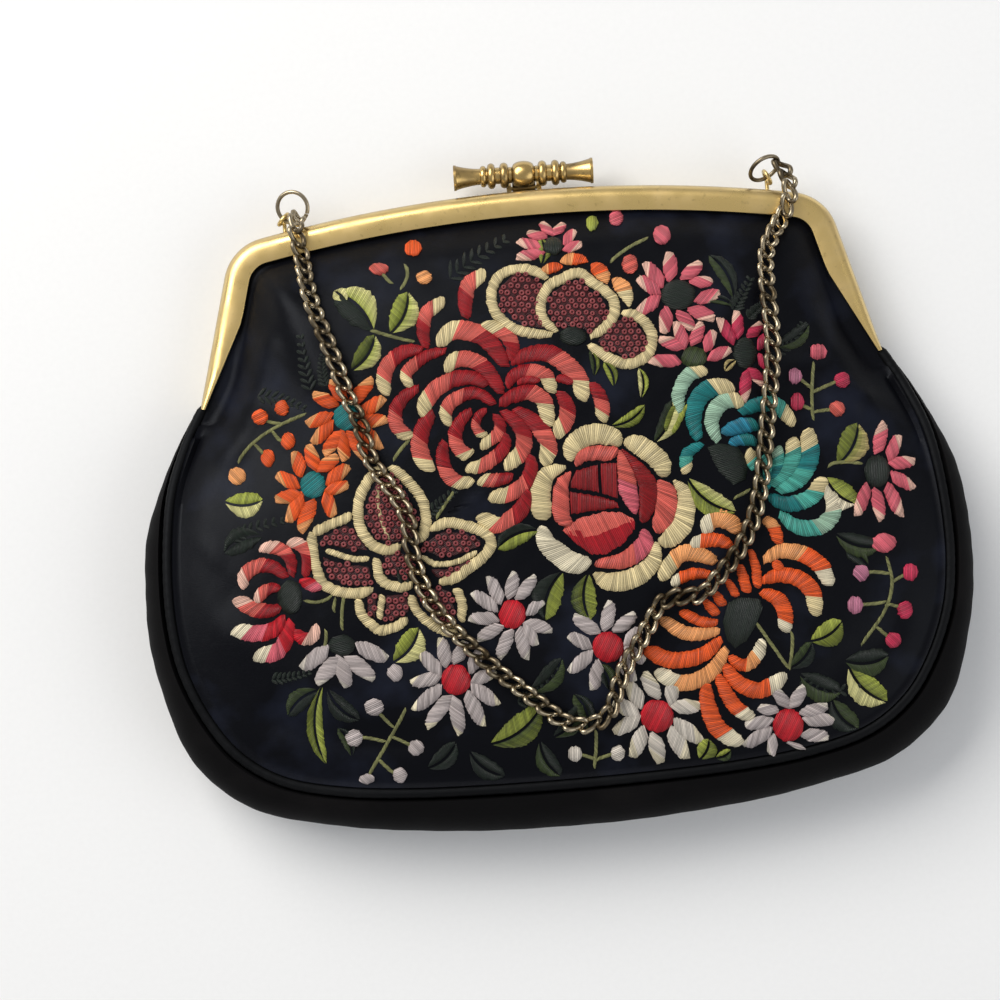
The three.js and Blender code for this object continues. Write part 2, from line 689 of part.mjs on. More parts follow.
// The jump rings hang in the eyes: each passes through its eye along the eye's hole
function jumpRing({ side, turn, lean }) {
  const ring = new THREE.TorusGeometry(ringRadius, ringWire, 6, 20);
  ring.translate(0, ringRadius, 0);
  ring.rotateX(lean * Math.PI / 180);
  ring.rotateZ(side * turn * Math.PI / 180);
  const centre = eyeCentre(side);
  ring.translate(centre.x, centre.y, centre.z);
  return ring;
}

for (const row of endRows) {
  addPiece('jump_ring_' + row.name, geometryOf(solidOf(jumpRing(row))), darkBrass);
}

// The chain's envelope lies on the frame and the front panel between the two rings

function restHeight(x, y) {
  const caster = new THREE.Raycaster();
  const down = new THREE.Vector3(0, 0, -1);
  const around = [[0, 0], [1, 0], [-1, 0], [0, 1], [0, -1], [0.7, 0.7], [-0.7, 0.7], [0.7, -0.7], [-0.7, -0.7]];
  const high = 2 * crownHeight;
  const hits = around.map(([dx, dy]) => {
    caster.set(new THREE.Vector3(x + dx * chainRadius, y + dy * chainRadius, high), down);
    const [hit] = caster.intersectObjects([frontPanel, frameFront]);
    return hit ? high - hit.distance : 0;
  });
  return Math.max(...hits) + clearance + chainRadius;
}

function chainEnvelope() {
  const points = chainRoute.map(([x, y, z]) => new THREE.Vector3(x, y, z ?? restHeight(x, y)));
  const circle = new THREE.Shape();
  for (let side = 0; side < chainSides; side += 1) {
    const turn = 2 * Math.PI * side / chainSides;
    const [x, y] = [chainRadius * Math.cos(turn), chainRadius * Math.sin(turn)];
    if (side === 0) {
      circle.moveTo(x, y);
    } else {
      circle.lineTo(x, y);
    }
  }
  const extrudePath = new THREE.CatmullRomCurve3(points);
  return new THREE.ExtrudeGeometry(circle, { steps: chainSteps, extrudePath });
}

addPiece('chain', geometryOf(solidOf(chainEnvelope())), darkBrass);

// The origin is the middle of the face that the purse lies on
const bounds = new THREE.Box3().setFromObject(purse);
const middle = bounds.getCenter(new THREE.Vector3());
purse.position.set(-middle.x, -middle.y, -bounds.min.z);

export default purse;
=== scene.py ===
import math
import bmesh
import bpy
import numpy as np
from mathutils import Vector, Matrix


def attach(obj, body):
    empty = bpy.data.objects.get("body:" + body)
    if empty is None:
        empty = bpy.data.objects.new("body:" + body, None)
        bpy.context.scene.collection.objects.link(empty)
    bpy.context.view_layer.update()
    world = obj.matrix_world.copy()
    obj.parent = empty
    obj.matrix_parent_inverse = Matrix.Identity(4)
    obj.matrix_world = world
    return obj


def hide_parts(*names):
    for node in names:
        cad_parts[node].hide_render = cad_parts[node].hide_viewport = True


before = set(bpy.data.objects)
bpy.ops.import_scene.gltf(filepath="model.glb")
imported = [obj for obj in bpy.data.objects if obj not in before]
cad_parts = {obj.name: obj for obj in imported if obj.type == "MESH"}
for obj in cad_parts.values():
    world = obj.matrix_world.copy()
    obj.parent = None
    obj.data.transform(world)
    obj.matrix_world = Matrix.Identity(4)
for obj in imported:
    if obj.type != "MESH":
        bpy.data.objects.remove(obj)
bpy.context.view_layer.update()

mm = 0.001
middleShift = -0.1          # mm from the drawing's origin to the middle of the face it lies on
random = np.random.default_rng(7)

# the view: straight down on the purse as it lies on its back
view = {"height": 500.0, "x": -10.35, "y": -0.8, "turn": -5.0, "lens": 88.3, "sensor": 36}
studio = {"floor": (0.86, 0.855, 0.84), "sky": 0.42, "key": 12.5, "fill": 2.6}

camData = bpy.data.cameras.new("camera")
camData.lens = view["lens"]
camData.sensor_width = view["sensor"]
camData.clip_start = 0.01
camera = bpy.data.objects.new("camera", camData)
camera.location = (view["x"] * mm, view["y"] * mm, view["height"] * mm)
camera.rotation_euler = (0, 0, math.radians(view["turn"]))
bpy.context.scene.collection.objects.link(camera)
bpy.context.scene.camera = camera
bpy.context.scene.view_settings.view_transform = "Standard"
bpy.context.scene.view_settings.look = "None"


def softLight(name, place, size, power, tint):
    data = bpy.data.lights.new(name, "AREA")
    data.shape = "RECTANGLE"
    data.size, data.size_y = size
    data.energy = power
    data.color = tint
    light = bpy.data.objects.new(name, data)
    light.location = place
    light.rotation_euler = (-Vector(place)).to_track_quat("-Z", "Y").to_euler()
    bpy.context.scene.collection.objects.link(light)


softLight("window", (-0.55, 0.62, 0.75), (0.9, 0.7), studio["key"], (1, 0.985, 0.96))
softLight("bounce", (0.7, -0.35, 0.6), (0.8, 0.8), studio["fill"], (0.94, 0.97, 1))
world = bpy.data.worlds.new("studio")
world.use_nodes = True
sky = world.node_tree.nodes["Background"].inputs
sky["Color"].default_value = (0.93, 0.95, 1, 1)
sky["Strength"].default_value = studio["sky"]
bpy.context.scene.world = world
print("camera and lights set")


# node tools: a value is a number, a socket, or a node whose first output is meant
def feed(tree, socket, value):
    if isinstance(value, bpy.types.Node):
        value = value.outputs[0]
    if isinstance(value, bpy.types.NodeSocket):
        tree.links.new(value, socket)
    else:
        socket.default_value = value


def addNode(tree, kind, inputs=None, **settings):
    made = tree.nodes.new(kind)
    for key, value in settings.items():
        setattr(made, key, value)
    for key, value in (inputs or {}).items():
        feed(tree, made.inputs[key], value)
    return made


def mathNode(tree, operation, first, second=0.0):
    return addNode(tree, "ShaderNodeMath", {0: first, 1: second}, operation=operation)


def times(tree, first, second):
    return mathNode(tree, "MULTIPLY", first, second)


def plus(tree, first, second):
    return mathNode(tree, "ADD", first, second)


def vector(tree, x, y, z):
    return addNode(tree, "ShaderNodeCombineXYZ", {"X": x, "Y": y, "Z": z})


def split(tree, value):
    return addNode(tree, "ShaderNodeSeparateXYZ", {0: value}).outputs


def noise(tree, place, scale, detail, **more):
    return addNode(tree, "ShaderNodeTexNoise", {
        "Vector": place, "Scale": scale, "Detail": detail, **more}).outputs["Fac"]


def remap(tree, value, source=(0.0, 1.0), target=(0.0, 1.0)):
    return addNode(tree, "ShaderNodeMapRange", {
        "Value": value, "From Min": source[0], "From Max": source[1], "To Min": target[0], "To Max": target[1]})


def mixColour(tree, factor, first, second, blend="MIX"):
    first, second = ((*value, 1) if isinstance(value, tuple) else value for value in (first, second))
    return addNode(tree, "ShaderNodeMix", {"Factor": factor, 6: first, 7: second}, data_type="RGBA",
                   blend_type=blend).outputs[2]


# a node group: an input is given as its number, or as its kind of socket
def newGroup(name, kind, inputs, outputs):
    group = bpy.data.node_groups.new(name, kind)
    for label, value in inputs.items():
        if isinstance(value, str):
            group.interface.new_socket(label, in_out="INPUT", socket_type="NodeSocket" + value)
        else:
            socket = group.interface.new_socket(label, in_out="INPUT", socket_type="NodeSocketFloat")
            socket.default_value = value
    for label, value in outputs.items():
        group.interface.new_socket(label, in_out="OUTPUT", socket_type="NodeSocket" + value)
    return group, group.nodes.new("NodeGroupInput").outputs, group.nodes.new("NodeGroupOutput").inputs


def placeGroup(tree, group, inputs):
    return addNode(tree, "ShaderNodeGroup", inputs, node_tree=group).outputs


def newMaterial(name, settings):
    material = bpy.data.materials.new(name)
    material.use_nodes = True
    surface = material.node_tree.nodes["Principled BSDF"].inputs
    for label, value in settings.items():
        surface[label].default_value = value
    return material, material.node_tree, surface


def objectPlace(tree):
    return addNode(tree, "ShaderNodeTexCoord").outputs["Object"]


def addBump(tree, surface, height, strength, depth):
    feed(tree, surface["Normal"], addNode(tree, "ShaderNodeBump", {
        "Height": height, "Strength": strength, "Distance": depth}))


# woven cloth: fine floats along X crossed by a slower slub, with blotchy patches for painted sheen and dust
weaveGroup, given, result = newGroup("clothWeave", "ShaderNodeTree", {
    "Vector": "Vector", "Along": 1400.0, "Across": 5200.0, "Patch": 60.0}, {"Height": "Float", "SheenDustPatch": "Float"})
weavePlace = addNode(weaveGroup, "ShaderNodeVectorMath", {
    0: given["Vector"], 1: vector(weaveGroup, given["Along"], given["Across"], given["Along"])},
    operation="MULTIPLY")
weaveFloat = noise(weaveGroup, weavePlace, 1.0, 2.0, Roughness=0.6)
weaveRib = addNode(weaveGroup, "ShaderNodeTexWave", {
    "Vector": weavePlace, "Scale": 0.32, "Distortion": 1.2, "Detail": 1.0}, bands_direction="Y").outputs["Fac"]
feed(weaveGroup, result["Height"], plus(
    weaveGroup, times(weaveGroup, weaveFloat, 0.7), times(weaveGroup, weaveRib, 0.3)))
feed(weaveGroup, result["SheenDustPatch"], noise(weaveGroup, given["Vector"], given["Patch"], 4.0))

# metal: fine scratches, cloudy tarnish and small dark pits
metalGroup, given, result = newGroup("metalWear", "ShaderNodeTree", {
    "Vector": "Vector", "Clouds": 160.0, "Pits": 900.0, "Scratch": 2600.0},
    {"Tarnish": "Float", "Pit": "Float", "Height": "Float"})
feed(metalGroup, result["Tarnish"], remap(
    metalGroup, noise(metalGroup, given["Vector"], given["Clouds"], 5.0), (0.42, 0.68)))
feed(metalGroup, result["Pit"], remap(
    metalGroup, noise(metalGroup, given["Vector"], given["Pits"], 3.0), (0.62, 0.72)))
feed(metalGroup, result["Height"], noise(metalGroup, given["Vector"], given["Scratch"], 2.0, Distortion=1.5))

# embroidery: each stitch is a rounded ridge across the v of its thread map, with its own random tone, and painted
# shade that lightens its top and ply and darkens its edges
threadGroup, given, result = newGroup("silkThread", "ShaderNodeTree", {
    "Pitch": 0.3, "Dye": "Color", "Spread": 0.3}, {"Colour": "Color", "Height": "Float", "Gloss": "Float"})
threadPlace = split(threadGroup, addNode(threadGroup, "ShaderNodeUVMap", uv_map="thread"))
threadCount = mathNode(threadGroup, "DIVIDE", threadPlace["Y"], given["Pitch"])
threadArch = mathNode(threadGroup, "SINE", times(threadGroup, mathNode(threadGroup, "FRACT", threadCount), math.pi))
threadShade = addNode(threadGroup, "ShaderNodeTexWhiteNoise", {
    "W": mathNode(threadGroup, "FLOOR", threadCount)}, noise_dimensions="1D").outputs["Value"]
threadPly = noise(threadGroup, vector(
    threadGroup, times(threadGroup, threadPlace["X"], 0.9), times(threadGroup, threadPlace["Y"], 14.0), 0.0),
    1.0, 2.0)
threadTone = times(threadGroup, mathNode(threadGroup, "SUBTRACT", threadShade, 0.5), given["Spread"])
# painted shade: the dye is lightened along each stitch's rounded top and its ply, and darkened at its edges between
# stitches
threadReliefShade = plus(threadGroup, times(threadGroup, threadArch, 0.5), times(threadGroup, threadPly, 0.8))
threadToneAndShade = plus(threadGroup, plus(threadGroup, threadTone, threadReliefShade), 0.14)
feed(threadGroup, result["Colour"], mixColour(threadGroup, 1.0, given["Dye"], addNode(
    threadGroup, "ShaderNodeCombineColor", {"Red": threadToneAndShade, "Green": threadToneAndShade, "Blue": threadToneAndShade}),
    "MULTIPLY"))
feed(threadGroup, result["Height"], plus(threadGroup, threadArch, times(threadGroup, threadPly, 0.6)))
feed(threadGroup, result["Gloss"], threadShade)


# a metal with painted shade: faces that turn away from flat take a greyer, darker colour that paints the dimmer
# reflection of its rounded edges
def metalFinish(name, bright, tiltShade, dark, roughness, tarnish, pits):
    material, tree, surface = newMaterial(name, {"Metallic": 1.0, "Roughness": roughness})
    facing = split(tree, addNode(tree, "ShaderNodeNewGeometry").outputs["Normal"])
    # painted shade: the further a face tilts from flat, the more of the greyer colour it takes
    tiltShadeMask = remap(tree, mathNode(tree, "ABSOLUTE", facing["Z"]), (0.25, 0.93), (1.0, 0.0))
    wear = placeGroup(tree, metalGroup, {"Vector": objectPlace(tree)})
    shadedPlate = mixColour(tree, tiltShadeMask, bright, tiltShade)
    cloudy = mixColour(tree, times(tree, wear["Tarnish"], tarnish), shadedPlate, dark)
    feed(tree, surface["Base Color"], mixColour(tree, times(tree, wear["Pit"], pits), cloudy,
                                                tuple(0.25 * value for value in dark)))
    feed(tree, surface["Roughness"], remap(tree, wear["Tarnish"], target=(roughness, roughness + 0.18)))
    addBump(tree, surface, wear["Height"], 0.12, 0.00004)
    return material


def clothFinish(name, colour, sheenAndDust, roughness, gloss, weave, depth):
    material, tree, surface = newMaterial(name, {
        "Sheen Weight": 0.01, "Sheen Roughness": 0.35, "Sheen Tint": (0.85, 0.9, 1, 1),
        "Specular IOR Level": gloss, "Specular Tint": (0.88, 0.92, 1, 1)})
    woven = placeGroup(tree, weaveGroup, {"Vector": objectPlace(tree), "Along": weave[0], "Across": weave[1]})
    # painted sheen on the satin and dust on the duller cloths, in blotchy patches, and the weave's floats painted
    # lighter towards the same colour
    shade = mixColour(tree, remap(tree, woven["SheenDustPatch"], (0.52, 0.74)), colour, sheenAndDust)
    feed(tree, surface["Base Color"], mixColour(tree, times(tree, woven["Height"], 0.16), shade, sheenAndDust))
    feed(tree, surface["Roughness"], remap(tree, woven["SheenDustPatch"], target=(roughness - 0.07, roughness + 0.1)))
    addBump(tree, surface, woven["Height"], 0.55, depth)
    return material


def silkFinish(name, pitch, roughness, spread):
    material, tree, surface = newMaterial(name, {
        "Sheen Weight": 0.07, "Sheen Roughness": 0.4, "Specular IOR Level": 0.32})
    dye = addNode(tree, "ShaderNodeAttribute", attribute_name="dye").outputs["Color"]
    thread = placeGroup(tree, threadGroup, {"Dye": dye, "Pitch": pitch, "Spread": spread})
    feed(tree, surface["Base Color"], thread["Colour"])
    feed(tree, surface["Roughness"], remap(tree, thread["Gloss"], target=(roughness - 0.06, roughness + 0.1)))
    addBump(tree, surface, thread["Height"], 0.8, 0.00012)
    return material


# the second colour of each metal is the painted shade of its tilted faces
gilt = metalFinish("giltBrass", (0.95, 0.68, 0.26), (0.50, 0.43, 0.27), (0.56, 0.42, 0.21), 0.27, 0.6, 0.2)
claspBrass = metalFinish("claspBrass", (0.74, 0.50, 0.18), (0.36, 0.30, 0.19), (0.20, 0.14, 0.07), 0.24, 0.8, 0.4)
oldBrass = metalFinish("antiquedChain", (0.42, 0.35, 0.24), (0.36, 0.30, 0.20), (0.09, 0.065, 0.035), 0.26, 1.0,
                       0.6)
# the second colour of each cloth: painted navy sheen on the satin, dust on the piping and gusset
satin = clothFinish("blackSatin", (0.0013, 0.0012, 0.0016), (0.0095, 0.0115, 0.021), 0.38, 0.1,
                    (1400.0, 5200.0), 0.00006)
rolledSatin = clothFinish("rolledSatin", (0.0018, 0.0018, 0.0018), (0.005, 0.005, 0.005), 0.55, 0.12,
                          (2200.0, 4200.0), 0.00008)
plainCloth = clothFinish("gussetCloth", (0.0022, 0.0018, 0.0016), (0.006, 0.005, 0.0048), 0.8, 0.1,
                         (3600.0, 4200.0), 0.0001)
print("materials made")


# mesh tools: points in mm, in the drawing's own frame
def showPiece(name, mesh, body="purse", sharp=None):
    mesh.polygons.foreach_set("use_smooth", [True] * len(mesh.polygons))
    if sharp:
        mesh.set_sharp_from_angle(angle=math.radians(sharp))
    piece = bpy.data.objects.new(name, mesh)
    bpy.context.scene.collection.objects.link(piece)
    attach(piece, body)
    return piece


def addPiece(name, node, part, material, sharp, body="purse"):
    placed = np.asarray(part[0], dtype=float) + (0, middleShift, 0)
    mesh = bpy.data.meshes.new(name)
    mesh.from_pydata((placed * mm).tolist(), [], [tuple(int(i) for i in face) for face in part[1]])
    work = bmesh.new()
    work.from_mesh(mesh)
    bmesh.ops.remove_doubles(work, verts=work.verts, dist=1e-7)
    bmesh.ops.recalc_face_normals(work, faces=work.faces)
    work.to_mesh(mesh)
    work.free()
    mesh.materials.append(material)
    piece = showPiece(name, mesh, body, sharp)
    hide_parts(node)
    return piece


# rings of equally many points joined into a tube, capped at both ends unless it closes on itself
def joinRings(rings, isClosed=False):
    count, total = len(rings[0]), len(rings)
    faces = []
    for ring in range(total if isClosed else total - 1):
        low, high = ring * count, (ring + 1) % total * count
        for side in range(count):
            after = (side + 1) % count
            faces.append((low + side, low + after, high + after, high + side))
    if not isClosed:
        faces.append(tuple(range(count))[::-1])
        faces.append(tuple((total - 1) * count + side for side in range(count)))
    return np.concatenate(rings), faces


def joinMeshes(*parts):
    points, faces, start = [], [], 0
    for some, others in parts:
        points.append(np.asarray(some))
        faces += [tuple(start + index for index in face) for face in others]
        start += len(some)
    return np.concatenate(points), faces


def circlePlan(sides):
    turns = np.linspace(0, 2 * math.pi, sides, endpoint=False)
    return np.cos(turns), np.sin(turns)


# a turned shape about +X: rows of (along, radius)
def turned(rows, sides, isClosed=False):
    cosine, sine = circlePlan(sides)
    return joinRings([np.stack([np.full(sides, along), radius * cosine, radius * sine], 1)
                      for along, radius in rows], isClosed)


def moved(part, turn=None, shift=(0, 0, 0)):
    points, faces = part
    if turn is not None:
        points = points @ np.array(turn).T
    return points + np.array(shift), faces


def torus(radius, wire, sides, steps, opening=0.0, start=0.0):
    cosine, sine = circlePlan(sides)
    rings = []
    for turn in start + np.linspace(0, 2 * math.pi - opening, steps, endpoint=opening > 0):
        reach = radius + wire * cosine
        rings.append(np.stack([reach * math.cos(turn), reach * math.sin(turn), wire * sine], 1))
    return joinRings(rings, opening == 0)


# the curve that passes evenly through points p, q, r and s, at t between q and r
def passThrough(p, q, r, s, t):
    return q + 0.5 * ((r - p) * t + (2 * p - 5 * q + 4 * r - s) * t ** 2 + (3 * q - p - 3 * r + s) * t ** 3)


# the frame: an arch over the mouth, two arms, and the two channel halves
frameSize = {"crest": 60.5, "archRadius": 291.0, "armEnd": (68.4, 22.6), "splay": math.radians(15.3),
             "corner": 10.0, "depth": 12.0, "band": 5.25, "taperedBand": 1.2, "taper": 18.5, "wall": 0.8,
             "shoulder": 2.5, "web": 4.5, "gap": 0.3}
armOut = np.array([math.cos(frameSize["splay"]), math.sin(frameSize["splay"])])
armDown = np.array([math.sin(frameSize["splay"]), -math.cos(frameSize["splay"])])
armEnd = np.array(frameSize["armEnd"])
archCentre = np.array([0, frameSize["crest"] - frameSize["archRadius"]])
armStart = armEnd - armOut * frameSize["corner"] - archCentre
armAlong = -armStart @ armDown
armReach = frameSize["archRadius"] - frameSize["corner"]
armTravel = -armAlong + math.sqrt(armAlong ** 2 - armStart @ armStart + armReach ** 2)
cornerCentre = armEnd - armOut * frameSize["corner"] - armDown * armTravel
archAngle = math.atan2(cornerCentre[1] - archCentre[1], cornerCentre[0])
armShare, cornerShare = 0.32, 0.12


def framePlace(share):
    place = 1 - abs(1 - 2 * share)
    side = -1 if share < 0.5 else 1
    if place <= armShare:
        toEnd = armTravel * place / armShare
        point, out = armEnd - armDown * toEnd, armOut
    elif place < armShare + cornerShare:
        part = (place - armShare) / cornerShare
        angle = frameSize["splay"] + (archAngle - frameSize["splay"]) * part
        out = np.array([math.cos(angle), math.sin(angle)])
        point, toEnd = cornerCentre + out * frameSize["corner"], armTravel
    else:
        part = (place - armShare - cornerShare) / (1 - armShare - cornerShare)
        angle = archAngle + (math.pi / 2 - archAngle) * part
        out = np.array([math.cos(angle), math.sin(angle)])
        point, toEnd = archCentre + out * frameSize["archRadius"], armTravel
    flip = np.array([side, 1])
    return point * flip, out * flip, toEnd


def bandWidth(toEnd):
    return np.interp(toEnd, (0, frameSize["taper"]), (frameSize["taperedBand"], frameSize["band"]))


def channelSection(toEnd):
    size = frameSize
    width = bandWidth(toEnd)
    web, bend = min(size["web"], width), min(size["shoulder"], width - size["gap"])
    middle, springing = size["depth"] / 2 + size["gap"] / 2, size["depth"] - size["shoulder"]
    rows = [(width, size["depth"] - 0.3), (width - 0.08, size["depth"] - 0.08), (width - 0.3, size["depth"])]
    for turn in np.radians(np.linspace(90, 0, 9)):
        rows.append((bend - bend * math.cos(turn), springing + size["shoulder"] * math.sin(turn)))
    rows += [(0, middle + 0.15), (0.15, middle), (web, middle), (web, middle + size["wall"]),
             (size["wall"], middle + size["wall"])]
    for turn in np.radians(np.linspace(0, 90, 5)):
        inside = (bend - size["wall"]) * math.cos(turn)
        rows.append((bend - inside, springing + (size["shoulder"] - size["wall"]) * math.sin(turn)))
    rows.append((width, size["depth"] - size["wall"]))
    return rows


def frameHalf(isBack):
    places = np.concatenate([np.linspace(0, armShare, 12, endpoint=False),
                             np.linspace(armShare, armShare + cornerShare, 12, endpoint=False),
                             np.linspace(armShare + cornerShare, 1, 22)]) / 2
    rings = []
    for share in [*places, *(1 - places[-2::-1])]:
        point, out, toEnd = framePlace(share)
        rings.append(np.array([[*(point - out * inside), frameSize["depth"] - height if isBack else height]
                               for inside, height in channelSection(toEnd)]))
    return joinRings(rings)


frontHalf = addPiece("gilt_front_half", "frame_front", frameHalf(False), gilt, 38)

# the chain's eyes and the clasp's ears stand on the back half
fitting = {"eyeX": 48.8, "eyeHole": 0.95, "eyeWire": 0.42, "eyeRise": 2.9, "ringRadius": 3.15, "ringWire": 0.42,
           "barLength": 28.0, "barRadius": 2.7, "barRise": 3.6, "barHeight": 7.0, "stem": (4.6, 1.0),
           "knuckle": 1.15, "bore": 0.58, "pivotHeight": 2.6, "ear": 0.9, "skew": 1.7}
eyeHeight = frameSize["depth"] / 2 - frameSize["gap"] / 2 + fitting["eyeHole"]
eyeY = archCentre[1] + math.sqrt(frameSize["archRadius"] ** 2 - fitting["eyeX"] ** 2) + fitting["eyeRise"]
ringRows = {"left": (-1, 45, 20), "right": (1, 25, 58)}
pivotY = frameSize["crest"] + frameSize["gap"] + fitting["knuckle"]
barY = frameSize["crest"] + fitting["barRise"]


def turnAbout(axis, degrees):
    return np.array(Matrix.Rotation(math.radians(degrees), 3, axis))


backParts = [frameHalf(True)]
for side, turn, lean in ringRows.values():
    middle = fitting["eyeHole"] + fitting["eyeWire"]
    centre = (side * fitting["eyeX"], eyeY, eyeHeight)
    eye = torus(middle, fitting["eyeWire"], 12, 32)
    backParts.append(moved(eye, turnAbout("Z", side * turn) @ turnAbout("Y", 90), centre))
    stem = turned([(0, fitting["eyeWire"]), (fitting["eyeRise"] + frameSize["wall"], fitting["eyeWire"])], 14)
    foot = (centre[0], centre[1] - fitting["eyeRise"] - frameSize["wall"] / 2 + 0.4, eyeHeight - middle)
    backParts.append(moved(stem, turnAbout("Z", 90), foot))
for side in (-1, 1):
    turns = np.radians(np.linspace(90, -90, 13))
    bottom = frameSize["crest"] - frameSize["wall"] / 2
    outline = [(bottom, fitting["knuckle"])]
    outline += [(pivotY + fitting["knuckle"] * math.cos(t), fitting["knuckle"] * math.sin(t)) for t in turns]
    outline.append((bottom, -fitting["knuckle"]))
    inner = side * (fitting["stem"][0] / 2 + frameSize["gap"])
    rings = [np.array([[x, y, fitting["pivotHeight"] + z] for y, z in outline])
             for x in (inner, inner + side * fitting["ear"])]
    backParts.append(joinRings(rings))
backHalf = addPiece("gilt_back_half", "frame_back", joinMeshes(*backParts), gilt, 38)

# the rivets at the arms' ends
hingeSize = {"radius": 3.0, "width": 2.2, "inset": 2.6, "rivet": 1.5, "head": 0.6}
half, disc, rivet, head = hingeSize["width"] / 2, hingeSize["radius"], hingeSize["rivet"], hingeSize["head"]
rivetRows = [(-half, 0.0), (-half, disc - 0.25), (-half + 0.12, disc - 0.05), (-half + 0.3, disc), (half - 0.3, disc),
             (half - 0.12, disc - 0.05), (half, disc - 0.25), (half, rivet), (half + 0.25, rivet - 0.05),
             (half + 0.48, rivet - 0.35), (half + head, rivet - 0.8), (half + head, 0.0)]
for name, side in (("left", -1), ("right", 1)):
    seat = armEnd + armDown * (hingeSize["radius"] + frameSize["gap"]) - armOut * hingeSize["inset"]
    part = moved(turned(rivetRows, 40), turnAbout("Z", math.degrees(frameSize["splay"])), (*seat, 0))
    if side < 0:
        part = moved(part, turnAbout("Y", 180))
    addPiece("arm_rivet_" + name, "hinge_" + name, moved(part, None, (0, 0, frameSize["depth"] / 2)), gilt,
             40)
print("frame halves and rivets made")

# the clasp: a turned bar, its stem and knuckle; beads in shares of the bar's half length
beadRows = (
    {"start": 0.0, "stop": 0.035, "low": 0.95, "high": 0.95, "kind": "straight"},
    {"start": 0.04, "stop": 0.375, "low": 0.9, "high": 0.6, "kind": "flare"},
    {"start": 0.38, "stop": 0.47, "low": 0.6, "high": 0.8, "kind": "bead"},
    {"start": 0.48, "stop": 0.6, "low": 0.62, "high": 0.95, "kind": "bead"},
    {"start": 0.61, "stop": 0.655, "low": 0.62, "high": 0.66, "kind": "straight"},
    {"start": 0.66, "stop": 0.79, "low": 0.62, "high": 0.95, "kind": "bead"},
    {"start": 0.795, "stop": 0.83, "low": 0.6, "high": 0.6, "kind": "straight"},
    {"start": 0.835, "stop": 1.165, "low": 0.55, "high": 1.0, "kind": "bead"},
)


def barProfile():
    rows = [(0.0, 0.0), (0.0, 0.86)]
    for bead in beadRows:
        for part in np.linspace(0, 1, 3 if bead["kind"] == "straight" else 13):
            if bead["kind"] == "bead":
                high = bead["low"] + (bead["high"] - bead["low"]) * math.sqrt(max(0, 1 - (2 * part - 1) ** 2))
            elif bead["kind"] == "flare":
                high = bead["low"] + (bead["high"] - bead["low"]) * (1 - (1 - part) ** 1.7)
            else:
                high = bead["low"]
            along = bead["start"] + (bead["stop"] - bead["start"]) * part
            if along <= 1:
                rows.append((along, high))
    half = fitting["barLength"] / 2
    left = [((along - 1) * half, radius * fitting["barRadius"]) for along, radius in rows]
    return left + [(-along, radius) for along, radius in left[::-1] if along < -1e-6]


way = np.array([barY - pivotY, fitting["barHeight"] - fitting["pivotHeight"]])
stemLength = float(np.hypot(*way))
stemWidth, stemThick = fitting["stem"]
corners = [(-stemThick / 2, -0.35), (-stemThick / 2 + 0.15, -0.5), (stemThick / 2 - 0.15, -0.5),
           (stemThick / 2, -0.35), (stemThick / 2, 0.35), (stemThick / 2 - 0.15, 0.5),
           (-stemThick / 2 + 0.15, 0.5), (-stemThick / 2, 0.35)]
stemRings = [np.array([[x * stemWidth, y, z] for y, x in corners]) for z in np.linspace(0, stemLength, 3)]
stemPart = moved(joinRings(stemRings), turnAbout("X", -math.degrees(math.atan2(way[0], way[1]))),
                 (0, pivotY, fitting["pivotHeight"]))
rim, full = fitting["knuckle"] - 0.1, fitting["knuckle"]
knuckleRows = [(-stemWidth / 2, fitting["bore"]), (-stemWidth / 2, rim), (-stemWidth / 2 + 0.1, full),
               (stemWidth / 2 - 0.1, full), (stemWidth / 2, rim), (stemWidth / 2, fitting["bore"])]
knuckle = turned(knuckleRows, 28, isClosed=True)
addPiece("turned_clasp_bar", "clasp_bar", joinMeshes(
    moved(turned(barProfile(), 56), turnAbout("Z", -fitting["skew"]), (0, barY, fitting["barHeight"])), stemPart,
    moved(knuckle, None, (0, pivotY, fitting["pivotHeight"]))), claspBrass, 34, body="clasp")
pinEnd = stemWidth / 2 + frameSize["gap"] + fitting["ear"]
pinRows = [(-pinEnd, 0.0), (-pinEnd, 0.36), (-pinEnd + 0.06, 0.42), (pinEnd - 0.06, 0.42), (pinEnd, 0.36),
           (pinEnd, 0.0)]
addPiece("round_clasp_pin", "clasp_pin", moved(turned(pinRows, 24), None, (0, pivotY, fitting["pivotHeight"])), gilt,
         40)

# the rings in the eyes are bent from wire, so their ends meet at a small gap
for name, (side, turn, lean) in ringRows.items():
    wireRing = torus(fitting["ringRadius"], fitting["ringWire"], 14, 60, opening=0.07,
                     start=math.radians(20 if side < 0 else 140))
    wireRing = moved(wireRing, None, (0, fitting["ringRadius"], 0))
    addPiece("wire_ring_" + name, "jump_ring_" + name, moved(
        wireRing, turnAbout("Z", side * turn) @ turnAbout("X", lean),
        (side * fitting["eyeX"], eyeY, eyeHeight)), oldBrass, 50)
print("clasp and rings made")

